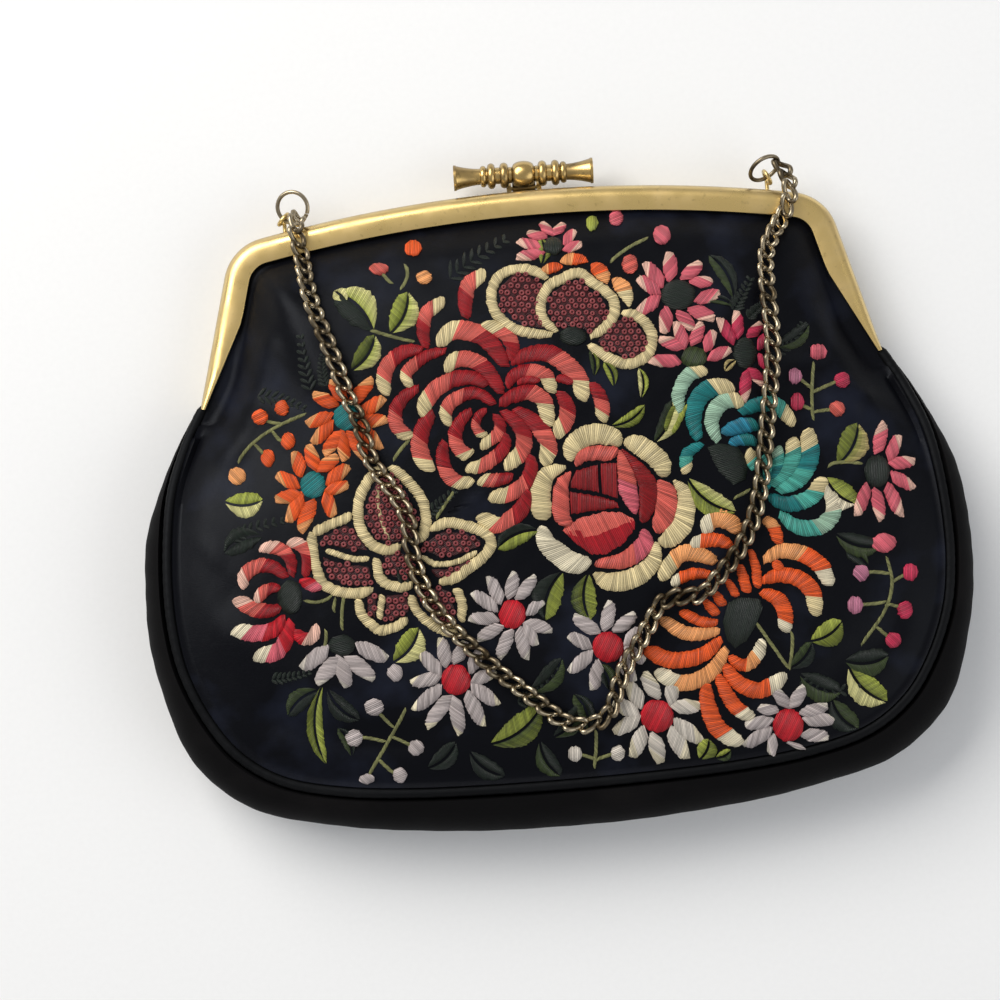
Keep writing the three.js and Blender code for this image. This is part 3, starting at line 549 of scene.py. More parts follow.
# the bag's cloth: outline, seams and the height of both panels
bagSize = {"halfWidth": 82.4, "drop": 89.2, "wall": 1.5, "piping": 1.1, "frontSeam": 20.0, "backSeam": 1.5,
           "crown": 25.2, "crownEase": 14.0, "backEase": 6.0, "foldFade": 7.0, "tuck": 1.3, "armLean": 0.62}
outlineNames = ("gussetAcross", "gussetDown", "seamAcross", "seamDown", "depth")
outlineRows = np.array((
    (0.862, 0.027, 0.836, 0.02, 0), (0.9, 0.085, 0.87, 0.083, 0.14), (0.941, 0.166, 0.905, 0.175, 0.46),
    (0.984, 0.269, 0.922, 0.27, 0.7), (0.998, 0.381, 0.93, 0.38, 0.86), (1, 0.493, 0.927, 0.482, 0.94),
    (0.981, 0.616, 0.908, 0.583, 0.98), (0.934, 0.758, 0.86, 0.688, 1), (0.862, 0.848, 0.792, 0.774, 1),
    (0.749, 0.915, 0.69, 0.836, 1), (0.583, 0.954, 0.546, 0.869, 1), (0.413, 0.979, 0.38, 0.885, 1),
    (0.206, 0.995, 0.19, 0.892, 1), (0, 1, 0, 0.894, 1)))
foldRows = (                # from and to, half breadth, rise; the last four are finer creases of the satin
    (-0.62, -0.25, -0.51, -0.02, 0.035, 0.045), (-0.66, -0.12, -0.76, 0.1, 0.045, 0.06),
    (-0.4, -0.3, 0.42, -0.3, 0.04, 0.035), (0.68, -0.08, 0.78, 0.12, 0.045, 0.06),
    (0.6, 0.02, 0.8, 0.03, 0.03, -0.03), (-0.76, 0.5, -0.58, 0.66, 0.06, 0.04),
    (-0.7, 0.7, -0.4, 0.78, 0.05, -0.035), (0.5, 0.78, 0.78, 0.62, 0.05, -0.035),
    (-0.74, -0.02, -0.6, 0.04, 0.018, 0.014), (0.64, 0.08, 0.84, 0.12, 0.016, 0.014),
    (-0.84, 0.3, -0.7, 0.42, 0.02, 0.012), (0.2, -0.34, 0.56, -0.26, 0.018, 0.012))


def smoothRow(column, place):
    rows = outlineRows[:, outlineNames.index(column)]
    last = len(rows) - 1
    at = min(max(place, 0), last)
    low = min(int(at), last - 1)

    def value(row):
        if row < 0:
            return 2 * rows[0] - rows[-row]
        if row > last:
            return -rows[2 * last - row] if column.endswith("Across") else rows[2 * last - row]
        return rows[row]

    return passThrough(*(value(low + step) for step in (-1, 0, 1, 2)), at - low)


def outlinePoint(share, kind):
    place = (1 - abs(1 - 2 * share)) * (len(outlineRows) - 1)
    side = -1 if share < 0.5 else 1
    return np.array([side * smoothRow(kind + "Across", place) * bagSize["halfWidth"],
                     armEnd[1] - smoothRow(kind + "Down", place) * bagSize["drop"]])


def seamInward(share):
    way = outlinePoint(min(1, share + 0.004), "seam") - outlinePoint(max(0, share - 0.004), "seam")
    way = way / np.linalg.norm(way)
    return np.array([-way[1], way[0]])


hingeSeam = frameSize["depth"] / 2 + hingeSize["radius"] + frameSize["gap"] + bagSize["piping"]


def seamHeight(share, isFront):
    place = (1 - abs(1 - 2 * share)) * (len(outlineRows) - 1)
    atHinge = hingeSeam if isFront else frameSize["depth"] - hingeSeam
    atSeam = bagSize["frontSeam"] if isFront else bagSize["backSeam"]
    return atHinge + (atSeam - atHinge) * smoothRow("depth", place)


pipingGap = bagSize["piping"] + frameSize["gap"]
panelGap = pipingGap + bagSize["wall"] / 2
mouthShares, seamShares = np.linspace(0, 1, 105), np.linspace(0, 1, 191)
mouthLine = np.array([point - out * min(frameSize["shoulder"], bandWidth(toEnd) - 0.3)
                      for point, out, toEnd in map(framePlace, mouthShares)])
seamLine = np.array([outlinePoint(s, "seam") + seamInward(s) * panelGap for s in seamShares])
frontSeamHeights = np.array([seamHeight(s, True) for s in seamShares])
backSeamHeights = np.array([seamHeight(s, False) for s in seamShares])
channelReach = frameSize["band"] - frameSize["shoulder"] + 2 * frameSize["gap"]
channelHeight = frameSize["depth"] - frameSize["wall"] - frameSize["gap"] - bagSize["wall"] / 2


def nearestOnLine(points, line):
    gaps, shares = [], []
    start, way = line[:-1], line[1:] - line[:-1]
    for some in np.array_split(points, max(1, len(points) // 8000)):
        rel = some[:, None] - start
        along = np.clip((rel * way).sum(-1) / (way ** 2).sum(-1), 0, 1)
        gap = np.linalg.norm(rel - along[..., None] * way, axis=-1)
        index = gap.argmin(1)
        rows = np.arange(len(some))
        gaps.append(gap[rows, index])
        shares.append((index + along[rows, index]) / (len(line) - 1))
    return np.concatenate(gaps), np.concatenate(shares)


def frontHeight(points):
    fromMouth = np.maximum(0, nearestOnLine(points, mouthLine)[0] - channelReach)
    fromSeam, share = nearestOnLine(points, seamLine)
    edge = np.interp(share, seamShares, frontSeamHeights)
    crown, ease = bagSize["crown"], bagSize["crownEase"]
    overMouth = channelHeight + (crown - channelHeight) * (1 - np.exp(-fromMouth / ease))
    overSeam = edge + (crown - edge) * (1 - np.exp(-fromSeam / ease))
    nearest = np.minimum(fromMouth, fromSeam)
    blend = np.minimum(bagSize["wall"], 0.15 * nearest) + 1e-3
    soft = blend * np.log1p(np.exp(-np.abs(overMouth - overSeam) / blend))
    rise = 0
    for fromX, fromDown, toX, toDown, breadth, share in foldRows:
        ends = np.array([(fromX * bagSize["halfWidth"], armEnd[1] - fromDown * bagSize["drop"]),
                         (toX * bagSize["halfWidth"], armEnd[1] - toDown * bagSize["drop"])])
        away = nearestOnLine(points, ends)[0]
        rise = rise + share * crown * np.exp(-(away / (breadth * bagSize["halfWidth"])) ** 2)
    ripple = 0.05 * np.sin(points[:, 0] * 0.9 + 1.7 * np.sin(points[:, 1] * 0.23)) * np.sin(points[:, 1] * 0.7)
    fade = np.minimum(1, nearest / bagSize["foldFade"]) ** 2
    return np.minimum(overMouth, overSeam) - soft + (rise + ripple) * fade


def backHeight(points):
    fromMouth = np.maximum(0, nearestOnLine(points, mouthLine)[0] - channelReach)
    fromSeam, share = nearestOnLine(points, seamLine)
    atMouth = (frameSize["depth"] - channelHeight - bagSize["wall"] / 2) * np.maximum(
        0, 1 - fromMouth / bagSize["backEase"]) ** 2
    atSeam = (np.interp(share, seamShares, backSeamHeights) - bagSize["wall"] / 2) * np.maximum(
        0, 1 - fromSeam / bagSize["backEase"]) ** 2
    return bagSize["wall"] / 2 + np.maximum(atMouth, atSeam)


# a panel of even thickness: rings from its border in to its middle point, above and below
def panelCover(heightAt, rings):
    tucked = np.array([outlinePoint(s, "seam") + seamInward(s) * (panelGap - bagSize["tuck"]) for s in seamShares])
    border = np.concatenate([mouthLine[1:-1], tucked[::-1]])
    centre = np.array([0, armEnd[1] - bagSize["drop"] / 4])
    shares = np.concatenate([[0, 0.012, 0.03], np.linspace(0.05, 0.97, rings)])
    plan = border[None] + (centre - border)[None] * shares[:, None, None]
    flat = np.concatenate([plan.reshape(-1, 2), centre[None]])
    step = 0.05
    mid = heightAt(flat)
    slopeX = (heightAt(flat + (step, 0)) - heightAt(flat - (step, 0))) / (2 * step)
    slopeY = (heightAt(flat + (0, step)) - heightAt(flat - (0, step))) / (2 * step)
    normal = np.stack([-slopeX, -slopeY, np.ones(len(flat))], 1)
    normal /= np.linalg.norm(normal, axis=1)[:, None]
    full = np.concatenate([flat, mid[:, None]], 1)
    points = np.concatenate([full + normal * bagSize["wall"] / 2, full - normal * bagSize["wall"] / 2])
    count, total, under = len(border), len(shares), len(flat)
    faces = []
    for side in range(count):
        after = (side + 1) % count
        for ring in range(total - 1):
            a, b = ring * count + side, ring * count + after
            faces += [(a, b, b + count, a + count), (under + a, under + a + count, under + b + count, under + b)]
        a, b = (total - 1) * count + side, (total - 1) * count + after
        faces += [(a, b, under - 1), (under + b, under + a, 2 * under - 1),
                  (side, under + side, under + after, after)]
    return points, faces


coverFront = addPiece("satin_front_cover", "front_panel", panelCover(frontHeight, 58), satin, 60)
coverBack = addPiece("satin_back_cover", "back_panel", panelCover(backHeight, 24), satin, 60)


def clearOfPiping(bulge, half):
    near, far = 0.0, math.pi / 2
    for _ in range(24):
        middle = (near + far) / 2
        if math.hypot(bulge * math.sin(middle), half * (1 - math.cos(middle))) < pipingGap + frameSize["gap"]:
            near = middle
        else:
            far = middle
    return far


# the cloth turned in behind each arm: rise, bulge and height of its rows
tucks = ((0.9, 0.95, 0.96), (1.9, 0.7, 0.9), (2.8, 0.35, 0.8))


def upTheArm(place, share, rise):
    return place + np.array([(-1 if share > 0.5 else 1) * bagSize["armLean"], 1]) * rise


# the gusset: a soft strip round the seams, gathered into small puckers along both of its edges
def gussetCover(steps, rows):
    middles, outs = [], []
    body = [(share, 0.0, 1.0, 1.0) for share in np.linspace(0, 1, steps)]
    for share, up, narrow, flat in [(0, *tuck) for tuck in tucks[::-1]] + body + [(1, *tuck) for tuck in tucks]:
        seam = outlinePoint(share, "seam")
        out = outlinePoint(share, "gusset") - seam
        bulge = (np.linalg.norm(out) - bagSize["wall"] / 2) * narrow
        out = out / np.linalg.norm(out)
        seam = upTheArm(seam, share, up)
        high, low = seamHeight(share, True), seamHeight(share, False)
        half = (high - low) / 2 * flat
        low = (high + low) / 2 - half
        start = clearOfPiping(bulge, half)
        pucker = 0.16 * math.sin(share * 320) + 0.2 * math.sin(share * 97 + 1)
        for row in range(rows + 1):
            turn = start + (math.pi - 2 * start) * row / rows
            edge = 1 - abs(2 * row / rows - 1)
            reach = bulge * math.sin(turn) + pucker * edge * (1.1 - edge) * min(1, bulge / 4)
            plan = seam + out * reach
            middles.append([*plan, low + half + half * math.cos(turn)])
            outs.append([*(out * math.sin(turn)), math.cos(turn)])
    middles, outs = np.array(middles), np.array(outs)
    points = np.concatenate([middles + outs * bagSize["wall"] / 2, middles - outs * bagSize["wall"] / 2])
    width, under = rows + 1, len(middles)
    steps += 2 * len(tucks)
    faces = []
    for step in range(steps - 1):
        for row in range(rows):
            a = step * width + row
            faces += [(a, a + 1, a + width + 1, a + width),
                      (under + a, under + a + width, under + a + width + 1, under + a + 1)]
        a, b = step * width, step * width + rows
        faces += [(a, a + width, under + a + width, under + a), (b, under + b, under + b + width, b + width)]
    last = (steps - 1) * width
    for row in range(rows):
        faces += [(row, under + row, under + row + 1, row + 1),
                  (last + row, last + row + 1, under + last + row + 1, under + last + row)]
    return points, faces


gusset = addPiece("soft_gusset", "gusset", gussetCover(300, 20), plainCloth, 70)


# the piping: satin rolled over a cord, with the slight nips of its hand stitching
def pipingCord(isFront, steps=420, sides=14):
    rings = []
    cosine, sine = circlePlan(sides)
    body = [(share, 0.0, 1.0) for share in np.linspace(0, 1, steps)]
    for share, up, narrow in [(0, 2.4, 0.5), (0, 1.3, 0.95)] + body + [(1, 1.3, 0.95), (1, 2.4, 0.5)]:
        seam, out = upTheArm(outlinePoint(share, "seam"), share, up), seamInward(share)
        radius = bagSize["piping"] * (1 - 0.055 * abs(math.sin(share * 330)) ** 6 - 0.02 * math.sin(share * 61))
        radius *= narrow
        plan = seam + out * (radius * cosine)[:, None]
        rings.append(np.concatenate([plan, (seamHeight(share, isFront) + radius * sine)[:, None]], 1))
    return joinRings(rings)


cords = {name: addPiece("satin_piping_" + name, "piping_" + name, pipingCord(isFront), rolledSatin, 60)
         for name, isFront in (("front", True), ("back", False))}
print("cloth covers made")

# the satin's outer face on a fine grid, for all that is sewn on it or lies on it
gridStep = 0.5
gridX, gridY = np.arange(-80, 80.1, gridStep), np.arange(-62, 60.1, gridStep)
gridFlat = np.stack(np.meshgrid(gridX, gridY, indexing="ij"), -1).reshape(-1, 2)
gridMid = frontHeight(gridFlat).reshape(len(gridX), len(gridY))
slopeX, slopeY = np.gradient(gridMid, gridStep)
gridTop = gridMid + bagSize["wall"] / 2 * np.sqrt(1 + slopeX ** 2 + slopeY ** 2)


def clothTop(points):
    points = np.asarray(points, dtype=float)
    across = np.clip((points[..., 0] - gridX[0]) / gridStep, 0, len(gridX) - 1.001)
    down = np.clip((points[..., 1] - gridY[0]) / gridStep, 0, len(gridY) - 1.001)
    i, j = across.astype(int), down.astype(int)
    a, b = across - i, down - j
    return (gridTop[i, j] * (1 - a) * (1 - b) + gridTop[i + 1, j] * a * (1 - b)
            + gridTop[i, j + 1] * (1 - a) * b + gridTop[i + 1, j + 1] * a * b)


# the chain: twisted curb links that lie flat along their route
chainSize = {"pitch": 2.98, "linkLength": 4.1, "linkWidth": 1.95, "wire": 0.53, "twist": 0.7, "slant": 0.38,
             "lie": 1.35, "half": 1.25, "bandFrom": 49}
chainRoute = (
    (-45.6, 58.8, 10.3), (-45.9, 57.4, 13), (-45.8, 54.4, 14.1), (-45.2, 50.6), (-44.5, 45.6), (-43.3, 39.8),
    (-41.4, 33.8), (-39.7, 28), (-38.2, 22.3), (-36.1, 16.6), (-34.8, 10), (-32.6, 5.6), (-29.8, 0.9),
    (-28.4, -3.6), (-28.1, -9.6), (-26.6, -16), (-23.4, -22.4), (-19.2, -27.6), (-14.1, -33.2), (-9.7, -37.2),
    (-5.2, -41.4), (-1.6, -44.4), (2, -45.4), (5.4, -44.8), (7.8, -42.2), (9.2, -38.6), (11.4, -34.4),
    (14, -30.6), (16.8, -26.4), (19.4, -23), (23.2, -22.4), (27, -22), (30, -19.4), (32.8, -16.6),
    (35.4, -13.4), (37.6, -9.6), (39.6, -4.2), (41.2, 2.6), (42.6, 10), (44, 17.4), (45, 24), (45.2, 30.6),
    (45.1, 37.4), (45.8, 43), (48.2, 47.6), (50.6, 51), (51.9, 54.2, 14.2), (52.2, 57.4, 12.9),
    (51.5, 60.4, 11))


# a point of the route that has no height of its own lies on the satin, or on the frame's band
def chainPoints():
    made = []
    reach = (-chainSize["half"], 0, chainSize["half"])
    for x, y, *height in chainRoute:
        if not height:
            under = float(clothTop([(x + dx, y + dy) for dx in reach for dy in reach]).max())
            height = [max(under, frameSize["depth"] if y > chainSize["bandFrom"] else 0) + chainSize["lie"]]
        made.append(np.array([x, y + middleShift, *height]) * mm)
    return made


# ends a tree in real geometry with its material
def endTree(tree, result, instances, finish):
    real = addNode(tree, "GeometryNodeRealizeInstances", {"Geometry": instances})
    feed(tree, result["Geometry"], addNode(tree, "GeometryNodeSetMaterial", {"Geometry": real, "Material": finish}))


# a ring of thread or wire: a closed curve with a round section
def wireTree(tree, curve, wire, sides):
    section = addNode(tree, "GeometryNodeCurvePrimitiveCircle", {"Resolution": sides, "Radius": wire})
    return addNode(tree, "GeometryNodeCurveToMesh", {"Curve": curve, "Profile Curve": section})


def linkTree():
    tree, given, result = newGroup("curbChain", "GeometryNodeTree", {
        "Geometry": "Geometry", "Pitch": chainSize["pitch"] * mm, "Length": chainSize["linkLength"] * mm,
        "Width": chainSize["linkWidth"] * mm, "Wire": chainSize["wire"] * mm, "Twist": chainSize["twist"] * mm,
        "Slant": chainSize["slant"], "Finish": "Material"}, {"Geometry": "Geometry"})
    even = addNode(tree, "GeometryNodeResampleCurve", {"Curve": given["Geometry"], "Length": given["Pitch"]},
                   mode="LENGTH")
    level = addNode(tree, "GeometryNodeSetCurveNormal", {"Curve": even}, mode="Z_UP")
    circle = addNode(tree, "GeometryNodeCurvePrimitiveCircle", {"Resolution": 22, "Radius": 1.0})
    place = split(tree, addNode(tree, "GeometryNodeInputPosition"))
    along = times(tree, times(tree, place["X"], 0.5), given["Length"])
    across = plus(tree, times(tree, along, given["Slant"]), times(tree, times(tree, place["Y"], 0.5), given["Width"]))
    bend = times(tree, times(tree, times(tree, place["X"], place["Y"]), 2.0), given["Twist"])
    shaped = addNode(tree, "GeometryNodeSetPosition", {
        "Geometry": circle, "Position": vector(tree, along, across, bend)})
    points = addNode(tree, "GeometryNodeCurveToPoints", {"Curve": level}, mode="EVALUATED").outputs
    facing = addNode(tree, "FunctionNodeAlignRotationToVector", {"Vector": points["Tangent"]}, axis="X")
    flat = addNode(tree, "FunctionNodeAlignRotationToVector", {"Rotation": facing, "Vector": (0, 0, 1)}, axis="Z",
                   pivot_axis="X")
    endTree(tree, result, addNode(tree, "GeometryNodeInstanceOnPoints", {
        "Points": points["Points"], "Instance": wireTree(tree, shaped, given["Wire"], 8), "Rotation": flat}),
        given["Finish"])
    return tree


# runs a tree on a carrier and keeps the result as a plain mesh
def bakeTree(name, carrierData, tree, finish):
    carrier = bpy.data.objects.new(name + "_route", carrierData)
    bpy.context.scene.collection.objects.link(carrier)
    modifier = carrier.modifiers.new("make", "NODES")
    modifier.node_group = tree
    modifier[next(item.identifier for item in tree.interface.items_tree if item.name == "Finish")] = finish
    mesh = bpy.data.meshes.new_from_object(carrier.evaluated_get(bpy.context.evaluated_depsgraph_get()))
    bpy.data.objects.remove(carrier)
    mesh.name = name
    return showPiece(name, mesh)


routeData = bpy.data.curves.new("chainRoute", "CURVE")
routeData.dimensions = "3D"
routeData.resolution_u = 12
spline = routeData.splines.new("BEZIER")
routePoints = chainPoints()
spline.bezier_points.add(len(routePoints) - 1)
for knot, place in zip(spline.bezier_points, routePoints):
    knot.co = place
    knot.handle_left_type = knot.handle_right_type = "AUTO"
chain = bakeTree("curb_chain", routeData, linkTree(), oldBrass)
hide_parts("chain")
print("chain laid:", len(chain.data.polygons), "faces")

# embroidery: silk stitches on a chart of 1000 by 1000, drawn straight over the front as the camera sees it;
# scale is the chart's steps to a millimetre on the floor
chartView = {"middle": 500.0, "scale": 4.905, "firstHeight": 25.0}
stitchSize = {"pitch": 0.34, "lift": 0.62, "sink": 0.14, "fray": 0.16}


def fromChart(places):
    places = np.atleast_2d(np.asarray(places, dtype=float))
    turn = math.radians(-view["turn"])
    x, y = (places - chartView["middle"]).T
    u, v = x * math.cos(turn) - y * math.sin(turn), x * math.sin(turn) + y * math.cos(turn)
    height = np.full(len(places), chartView["firstHeight"])
    for _ in range(4):
        scale = chartView["scale"] * view["height"] / (view["height"] - height)
        plan = np.stack([view["x"] + u / scale, view["y"] - v / scale - middleShift], 1)
        height = clothTop(plan)
    return plan


def silk(red, green, blue):
    return np.array([((value / 255 + 0.055) / 1.055) ** 2.4 if value > 10 else value / 255 / 12.92
                     for value in (red, green, blue)])


dyes = {"cream": silk(212, 193, 144), "ivory": silk(216, 204, 174), "red": silk(146, 16, 24),
        "darkRed": silk(130, 10, 15), "salmon": silk(204, 90, 78), "pink": silk(204, 92, 104),
        "hotPink": silk(182, 44, 74), "blush": silk(224, 178, 158), "orange": silk(220, 84, 28),
        "apricot": silk(226, 152, 92), "teal": silk(20, 112, 112), "sea": silk(70, 158, 142),
        "mist": silk(150, 182, 156), "lagoon": silk(34, 118, 142), "olive": silk(104, 112, 38),
        "lime": silk(152, 160, 66), "straw": silk(200, 194, 130), "pine": silk(13, 24, 15),
        "moss": silk(46, 58, 24), "reed": silk(124, 124, 76), "lilac": silk(178, 166, 162),
        "pearl": silk(206, 196, 182), "wine": silk(58, 7, 12), "cherry": silk(180, 18, 32),
        "mauve": silk(178, 110, 132), "sand": silk(186, 166, 110)}


def newSewing():
    return {"points": [], "corners": [], "dyes": [], "threads": [], "count": 0}


# adds one stitched field: a grid of places with a dye per cell and a thread place per point
def sewField(sewing, plan, height, cellDyes, along, across):
    rows, columns = plan.shape[:2]
    points = np.concatenate([plan, height[..., None]], 2).reshape(-1, 3)
    index = np.arange(rows * columns).reshape(rows, columns)
    corners = np.stack([index[:-1, :-1], index[1:, :-1], index[1:, 1:], index[:-1, 1:]], -1).reshape(-1, 4)
    first = points[corners[:, 1]] - points[corners[:, 0]]
    second = points[corners[:, 3]] - points[corners[:, 0]]
    if (first[:, 0] * second[:, 1] - first[:, 1] * second[:, 0]).sum() < 0:
        corners = corners[:, ::-1]
    threads = np.stack([across, along], -1).reshape(-1, 2) + random.integers(0, 400) * stitchSize["pitch"]
    shade = 1 + 0.1 * random.standard_normal((rows - 1, 1, 1))
    sewing["points"].append(points)
    sewing["corners"].append(corners + sewing["count"])
    sewing["threads"].append(threads[corners])
    sewing["dyes"].append(np.clip(cellDyes * shade, 0, 1).reshape(-1, 3))
    sewing["count"] += len(points)


def smoothPath(places, steps):
    places = np.asarray(places, dtype=float)
    if len(places) == 2:
        return places[0] + (places[1] - places[0]) * np.linspace(0, 1, steps)[:, None]
    if len(places) == 3:        # one bend that passes through the middle point
        base, via, tip = places
        control = 2 * via - (base + tip) / 2
        t = np.linspace(0, 1, steps)[:, None]
        return (1 - t) ** 2 * base + 2 * (1 - t) * t * control + t ** 2 * tip
    full = np.concatenate([[2 * places[0] - places[1]], places, [2 * places[-1] - places[-2]]])
    at = np.linspace(0, len(places) - 1, steps)
    low = np.minimum(at.astype(int), len(places) - 2)
    return passThrough(full[low], full[low + 1], full[low + 2], full[low + 3], (at - low)[:, None])


profiles = {"curl": ((0, 0.1, 0.35, 0.72, 0.9, 0.97, 1), (0.4, 0.72, 0.94, 1, 0.9, 0.68, 0.3)),
            "leaf": ((0, 0.15, 0.5, 0.72, 0.9, 1), (0.55, 0.84, 1, 0.84, 0.42, 0.04)),
            "band": ((0, 0.04, 0.1, 0.9, 0.96, 1), (0.45, 0.85, 1, 1, 0.85, 0.45)),
            "almond": ((0, 0.1, 0.3, 0.5, 0.75, 0.92, 1), (0.1, 0.5, 0.9, 1, 0.86, 0.45, 0.08)),
            "stem": ((0, 0.05, 0.95, 1), (0.6, 1, 1, 0.5))}
acrossCuts = np.array([-1, -0.82, -0.45, 0, 0.45, 0.82, 1])


# a blade of satin stitches laid across a path; bands are (stop, dye) along it
def sewBlade(sewing, path, half, bands, profile="curl", slant=0.75, lift=1.0, pitch=None):
    spacing = pitch or stitchSize["pitch"]
    rough = fromChart(smoothPath(path, 24))
    length = np.linalg.norm(np.diff(rough, axis=0), axis=1).sum()
    rows = max(6, int(length / spacing)) + 1
    centre = fromChart(smoothPath(path, rows))
    way = np.gradient(centre, axis=0)
    way /= np.linalg.norm(way, axis=1)[:, None] + 1e-9
    side = np.stack([-way[:, 1], way[:, 0]], 1)
    t = np.linspace(0, 1, rows)
    halves = np.interp(t, np.linspace(0, 1, len(half)), half) if isinstance(half, tuple) else np.full(rows, half)
    width = halves / chartView["scale"] * 1.01 * np.interp(t, *profiles[profile])
    fray = stitchSize["fray"] * random.uniform(-1, 1, (rows, 2)) * np.minimum(1, width / 0.6)[:, None]
    reach = acrossCuts[None] * width[:, None]
    reach[:, 0] -= fray[:, 0]
    reach[:, -1] += fray[:, 1]
    plan = centre[:, None] + side[:, None] * reach[..., None] + way[:, None] * (slant * reach)[..., None]
    rise = lift * np.minimum(stitchSize["lift"], 0.55 * width)[:, None]
    bulge = rise * (1 - np.abs(acrossCuts) ** 2.6) ** 0.8 - stitchSize["sink"] * np.abs(acrossCuts) ** 8
    ends = np.minimum(1, np.minimum(t, 1 - t) * length / 0.5 + 0.25)[:, None]
    height = clothTop(plan) + bulge * ends + 0.02
    cells = np.zeros((rows - 1, len(acrossCuts) - 1, 3))
    for row, a in enumerate((t[:-1] + t[1:]) / 2 + random.uniform(-0.012, 0.012, rows - 1)):
        cells[row] = dyes[next((name for stop, name in bands if a <= stop), bands[-1][1])]
    along = np.repeat((t * length)[:, None], len(acrossCuts), 1)
    sewField(sewing, plan, height, cells, along, reach)


# an oval or a many-sided patch filled with parallel stitches at an angle
def sewPatch(sewing, outline, angle, dyeAt, lift=1.0):
    border = fromChart(outline)
    turn = math.radians(angle)
    thread = np.array([math.cos(turn), math.sin(turn)])
    step = np.array([-thread[1], thread[0]])
    middle = border.mean(0)
    a, b = (border - middle) @ thread, (border - middle) @ step
    levels = np.arange(b.min() + 0.03, b.max(), stitchSize["pitch"])
    if len(levels) < 3:
        levels = np.linspace(b.min() + 0.03, b.max() - 0.03, 4)
    lows, highs, kept = [], [], []
    for level in levels:
        meets = []
        for i in range(len(border)):
            j = (i + 1) % len(border)
            if (b[i] - level) * (b[j] - level) < 0:
                meets.append(a[i] + (a[j] - a[i]) * (level - b[i]) / (b[j] - b[i]))
        if len(meets) >= 2:
            lows.append(min(meets))
            highs.append(max(meets))
            kept.append(level)
    lows, highs, kept = np.array(lows), np.array(highs), np.array(kept)
    lows -= stitchSize["fray"] * random.uniform(-1, 1, len(kept))
    highs += stitchSize["fray"] * random.uniform(-1, 1, len(kept))
    cuts = acrossCuts[None]
    reach = (lows + highs)[:, None] / 2 + cuts * (highs - lows)[:, None] / 2
    plan = middle + reach[..., None] * thread + kept[:, None, None] * step
    size = float(kept.max() - kept.min())
    place = (kept - kept.min()) / max(size, 1e-6) * 2 - 1
    dome = np.sqrt(np.maximum(0.08, 1 - np.abs(place) ** 3))[:, None]
    rise = lift * min(stitchSize["lift"], 0.3 * size)
    bulge = rise * dome * (1 - np.abs(cuts) ** 3) ** 0.7 - stitchSize["sink"] * np.abs(cuts) ** 8
    height = clothTop(plan) + bulge + 0.03
    middles = (plan[:-1, :-1] + plan[1:, 1:]) / 2
    cells = np.array([[dyeAt(cell) for cell in row] for row in middles]) if callable(dyeAt) else np.broadcast_to(
        dyes[dyeAt], (len(kept) - 1, len(acrossCuts) - 1, 3)).copy()
    sewField(sewing, plan, height, cells, np.repeat(kept[:, None], len(acrossCuts), 1), reach)


def oval(x, y, across, down, sides=22):
    cosine, sine = circlePlan(sides)
    return np.stack([x + across * cosine, y + down * sine], 1)


# a leaf: two halves stitched from a dark vein outwards and towards the tip
def sewLeaf(sewing, base, tip, half, left, right, bend=0.12):
    base, tip = np.array(base, dtype=float), np.array(tip, dtype=float)
    along = tip - base
    sideways = np.array([-along[1], along[0]])
    vein = smoothPath([base, (base + tip) / 2 + sideways * bend, tip], 40)
    for side, name in ((-1, left), (1, right)):
        length = np.linalg.norm(along) / chartView["scale"]
        rows = max(7, int(length / stitchSize["pitch"]))
        t = np.linspace(0, 1, rows)
        inner = np.stack([np.interp(t * 0.93, np.linspace(0, 1, 40), vein[:, k]) for k in (0, 1)], 1)
        far = np.clip(t * 0.86 + 0.14, 0, 1)
        outer = np.stack([np.interp(far, np.linspace(0, 1, 40), vein[:, k]) for k in (0, 1)], 1)
        width = half * np.interp(far, (0, 0.14, 0.35, 0.62, 0.86, 1), (0.12, 0.6, 1.1, 1.22, 0.86, 0.1))
        normal = side * sideways / np.linalg.norm(sideways)
        outer = outer + normal * (width * (1 + 0.06 * random.uniform(-1, 1, rows)))[:, None]
        inner = inner + normal * np.minimum(0.9, 0.2 * width)[:, None]
        cuts = np.array([0, 0.12, 0.4, 0.7, 0.9, 1])
        places = inner[:, None] * (1 - cuts[None, :, None]) + outer[:, None] * cuts[None, :, None]
        plan = fromChart(places.reshape(-1, 2)).reshape(rows, len(cuts), 2)
        ends = np.minimum(1, np.minimum(t, 1 - t) * 6 + 0.2)[:, None]
        bulge = 0.42 * ends * (1 - np.abs(2 * cuts - 1) ** 2.4) - stitchSize["sink"] * (np.abs(2 * cuts - 1) ** 10)
        height = clothTop(plan) + bulge + 0.02
        names = name if isinstance(name, tuple) else (name, name)
        cells = np.array([[dyes[names[0]] * (1 - c) + dyes[names[1]] * c for c in (0.05, 0.3, 0.55, 0.8, 1)]
                          for _ in range(rows - 1)])
        reach = np.broadcast_to(cuts * half / chartView["scale"], (rows, len(cuts)))
        sewField(sewing, plan, height, cells, np.repeat((t * length)[:, None], len(cuts), 1), reach)


def finishSewing(name, sewing, material):
    points = np.concatenate(sewing["points"]) + (0, middleShift, 0)
    corners = np.concatenate(sewing["corners"])
    mesh = bpy.data.meshes.new(name)
    mesh.from_pydata((points * mm).tolist(), [], corners.tolist())
    thread = mesh.uv_layers.new(name="thread")
    thread.data.foreach_set("uv", np.concatenate(sewing["threads"]).reshape(-1))
    dye = mesh.color_attributes.new("dye", "FLOAT_COLOR", "CORNER")
    cells = np.repeat(np.concatenate(sewing["dyes"]), 4, axis=0)
    dye.data.foreach_set("color", np.concatenate([cells, np.ones((len(cells), 1))], 1).reshape(-1))
    mesh.materials.append(material)
    print(name, len(corners), "stitch faces")
    return showPiece(name, mesh)


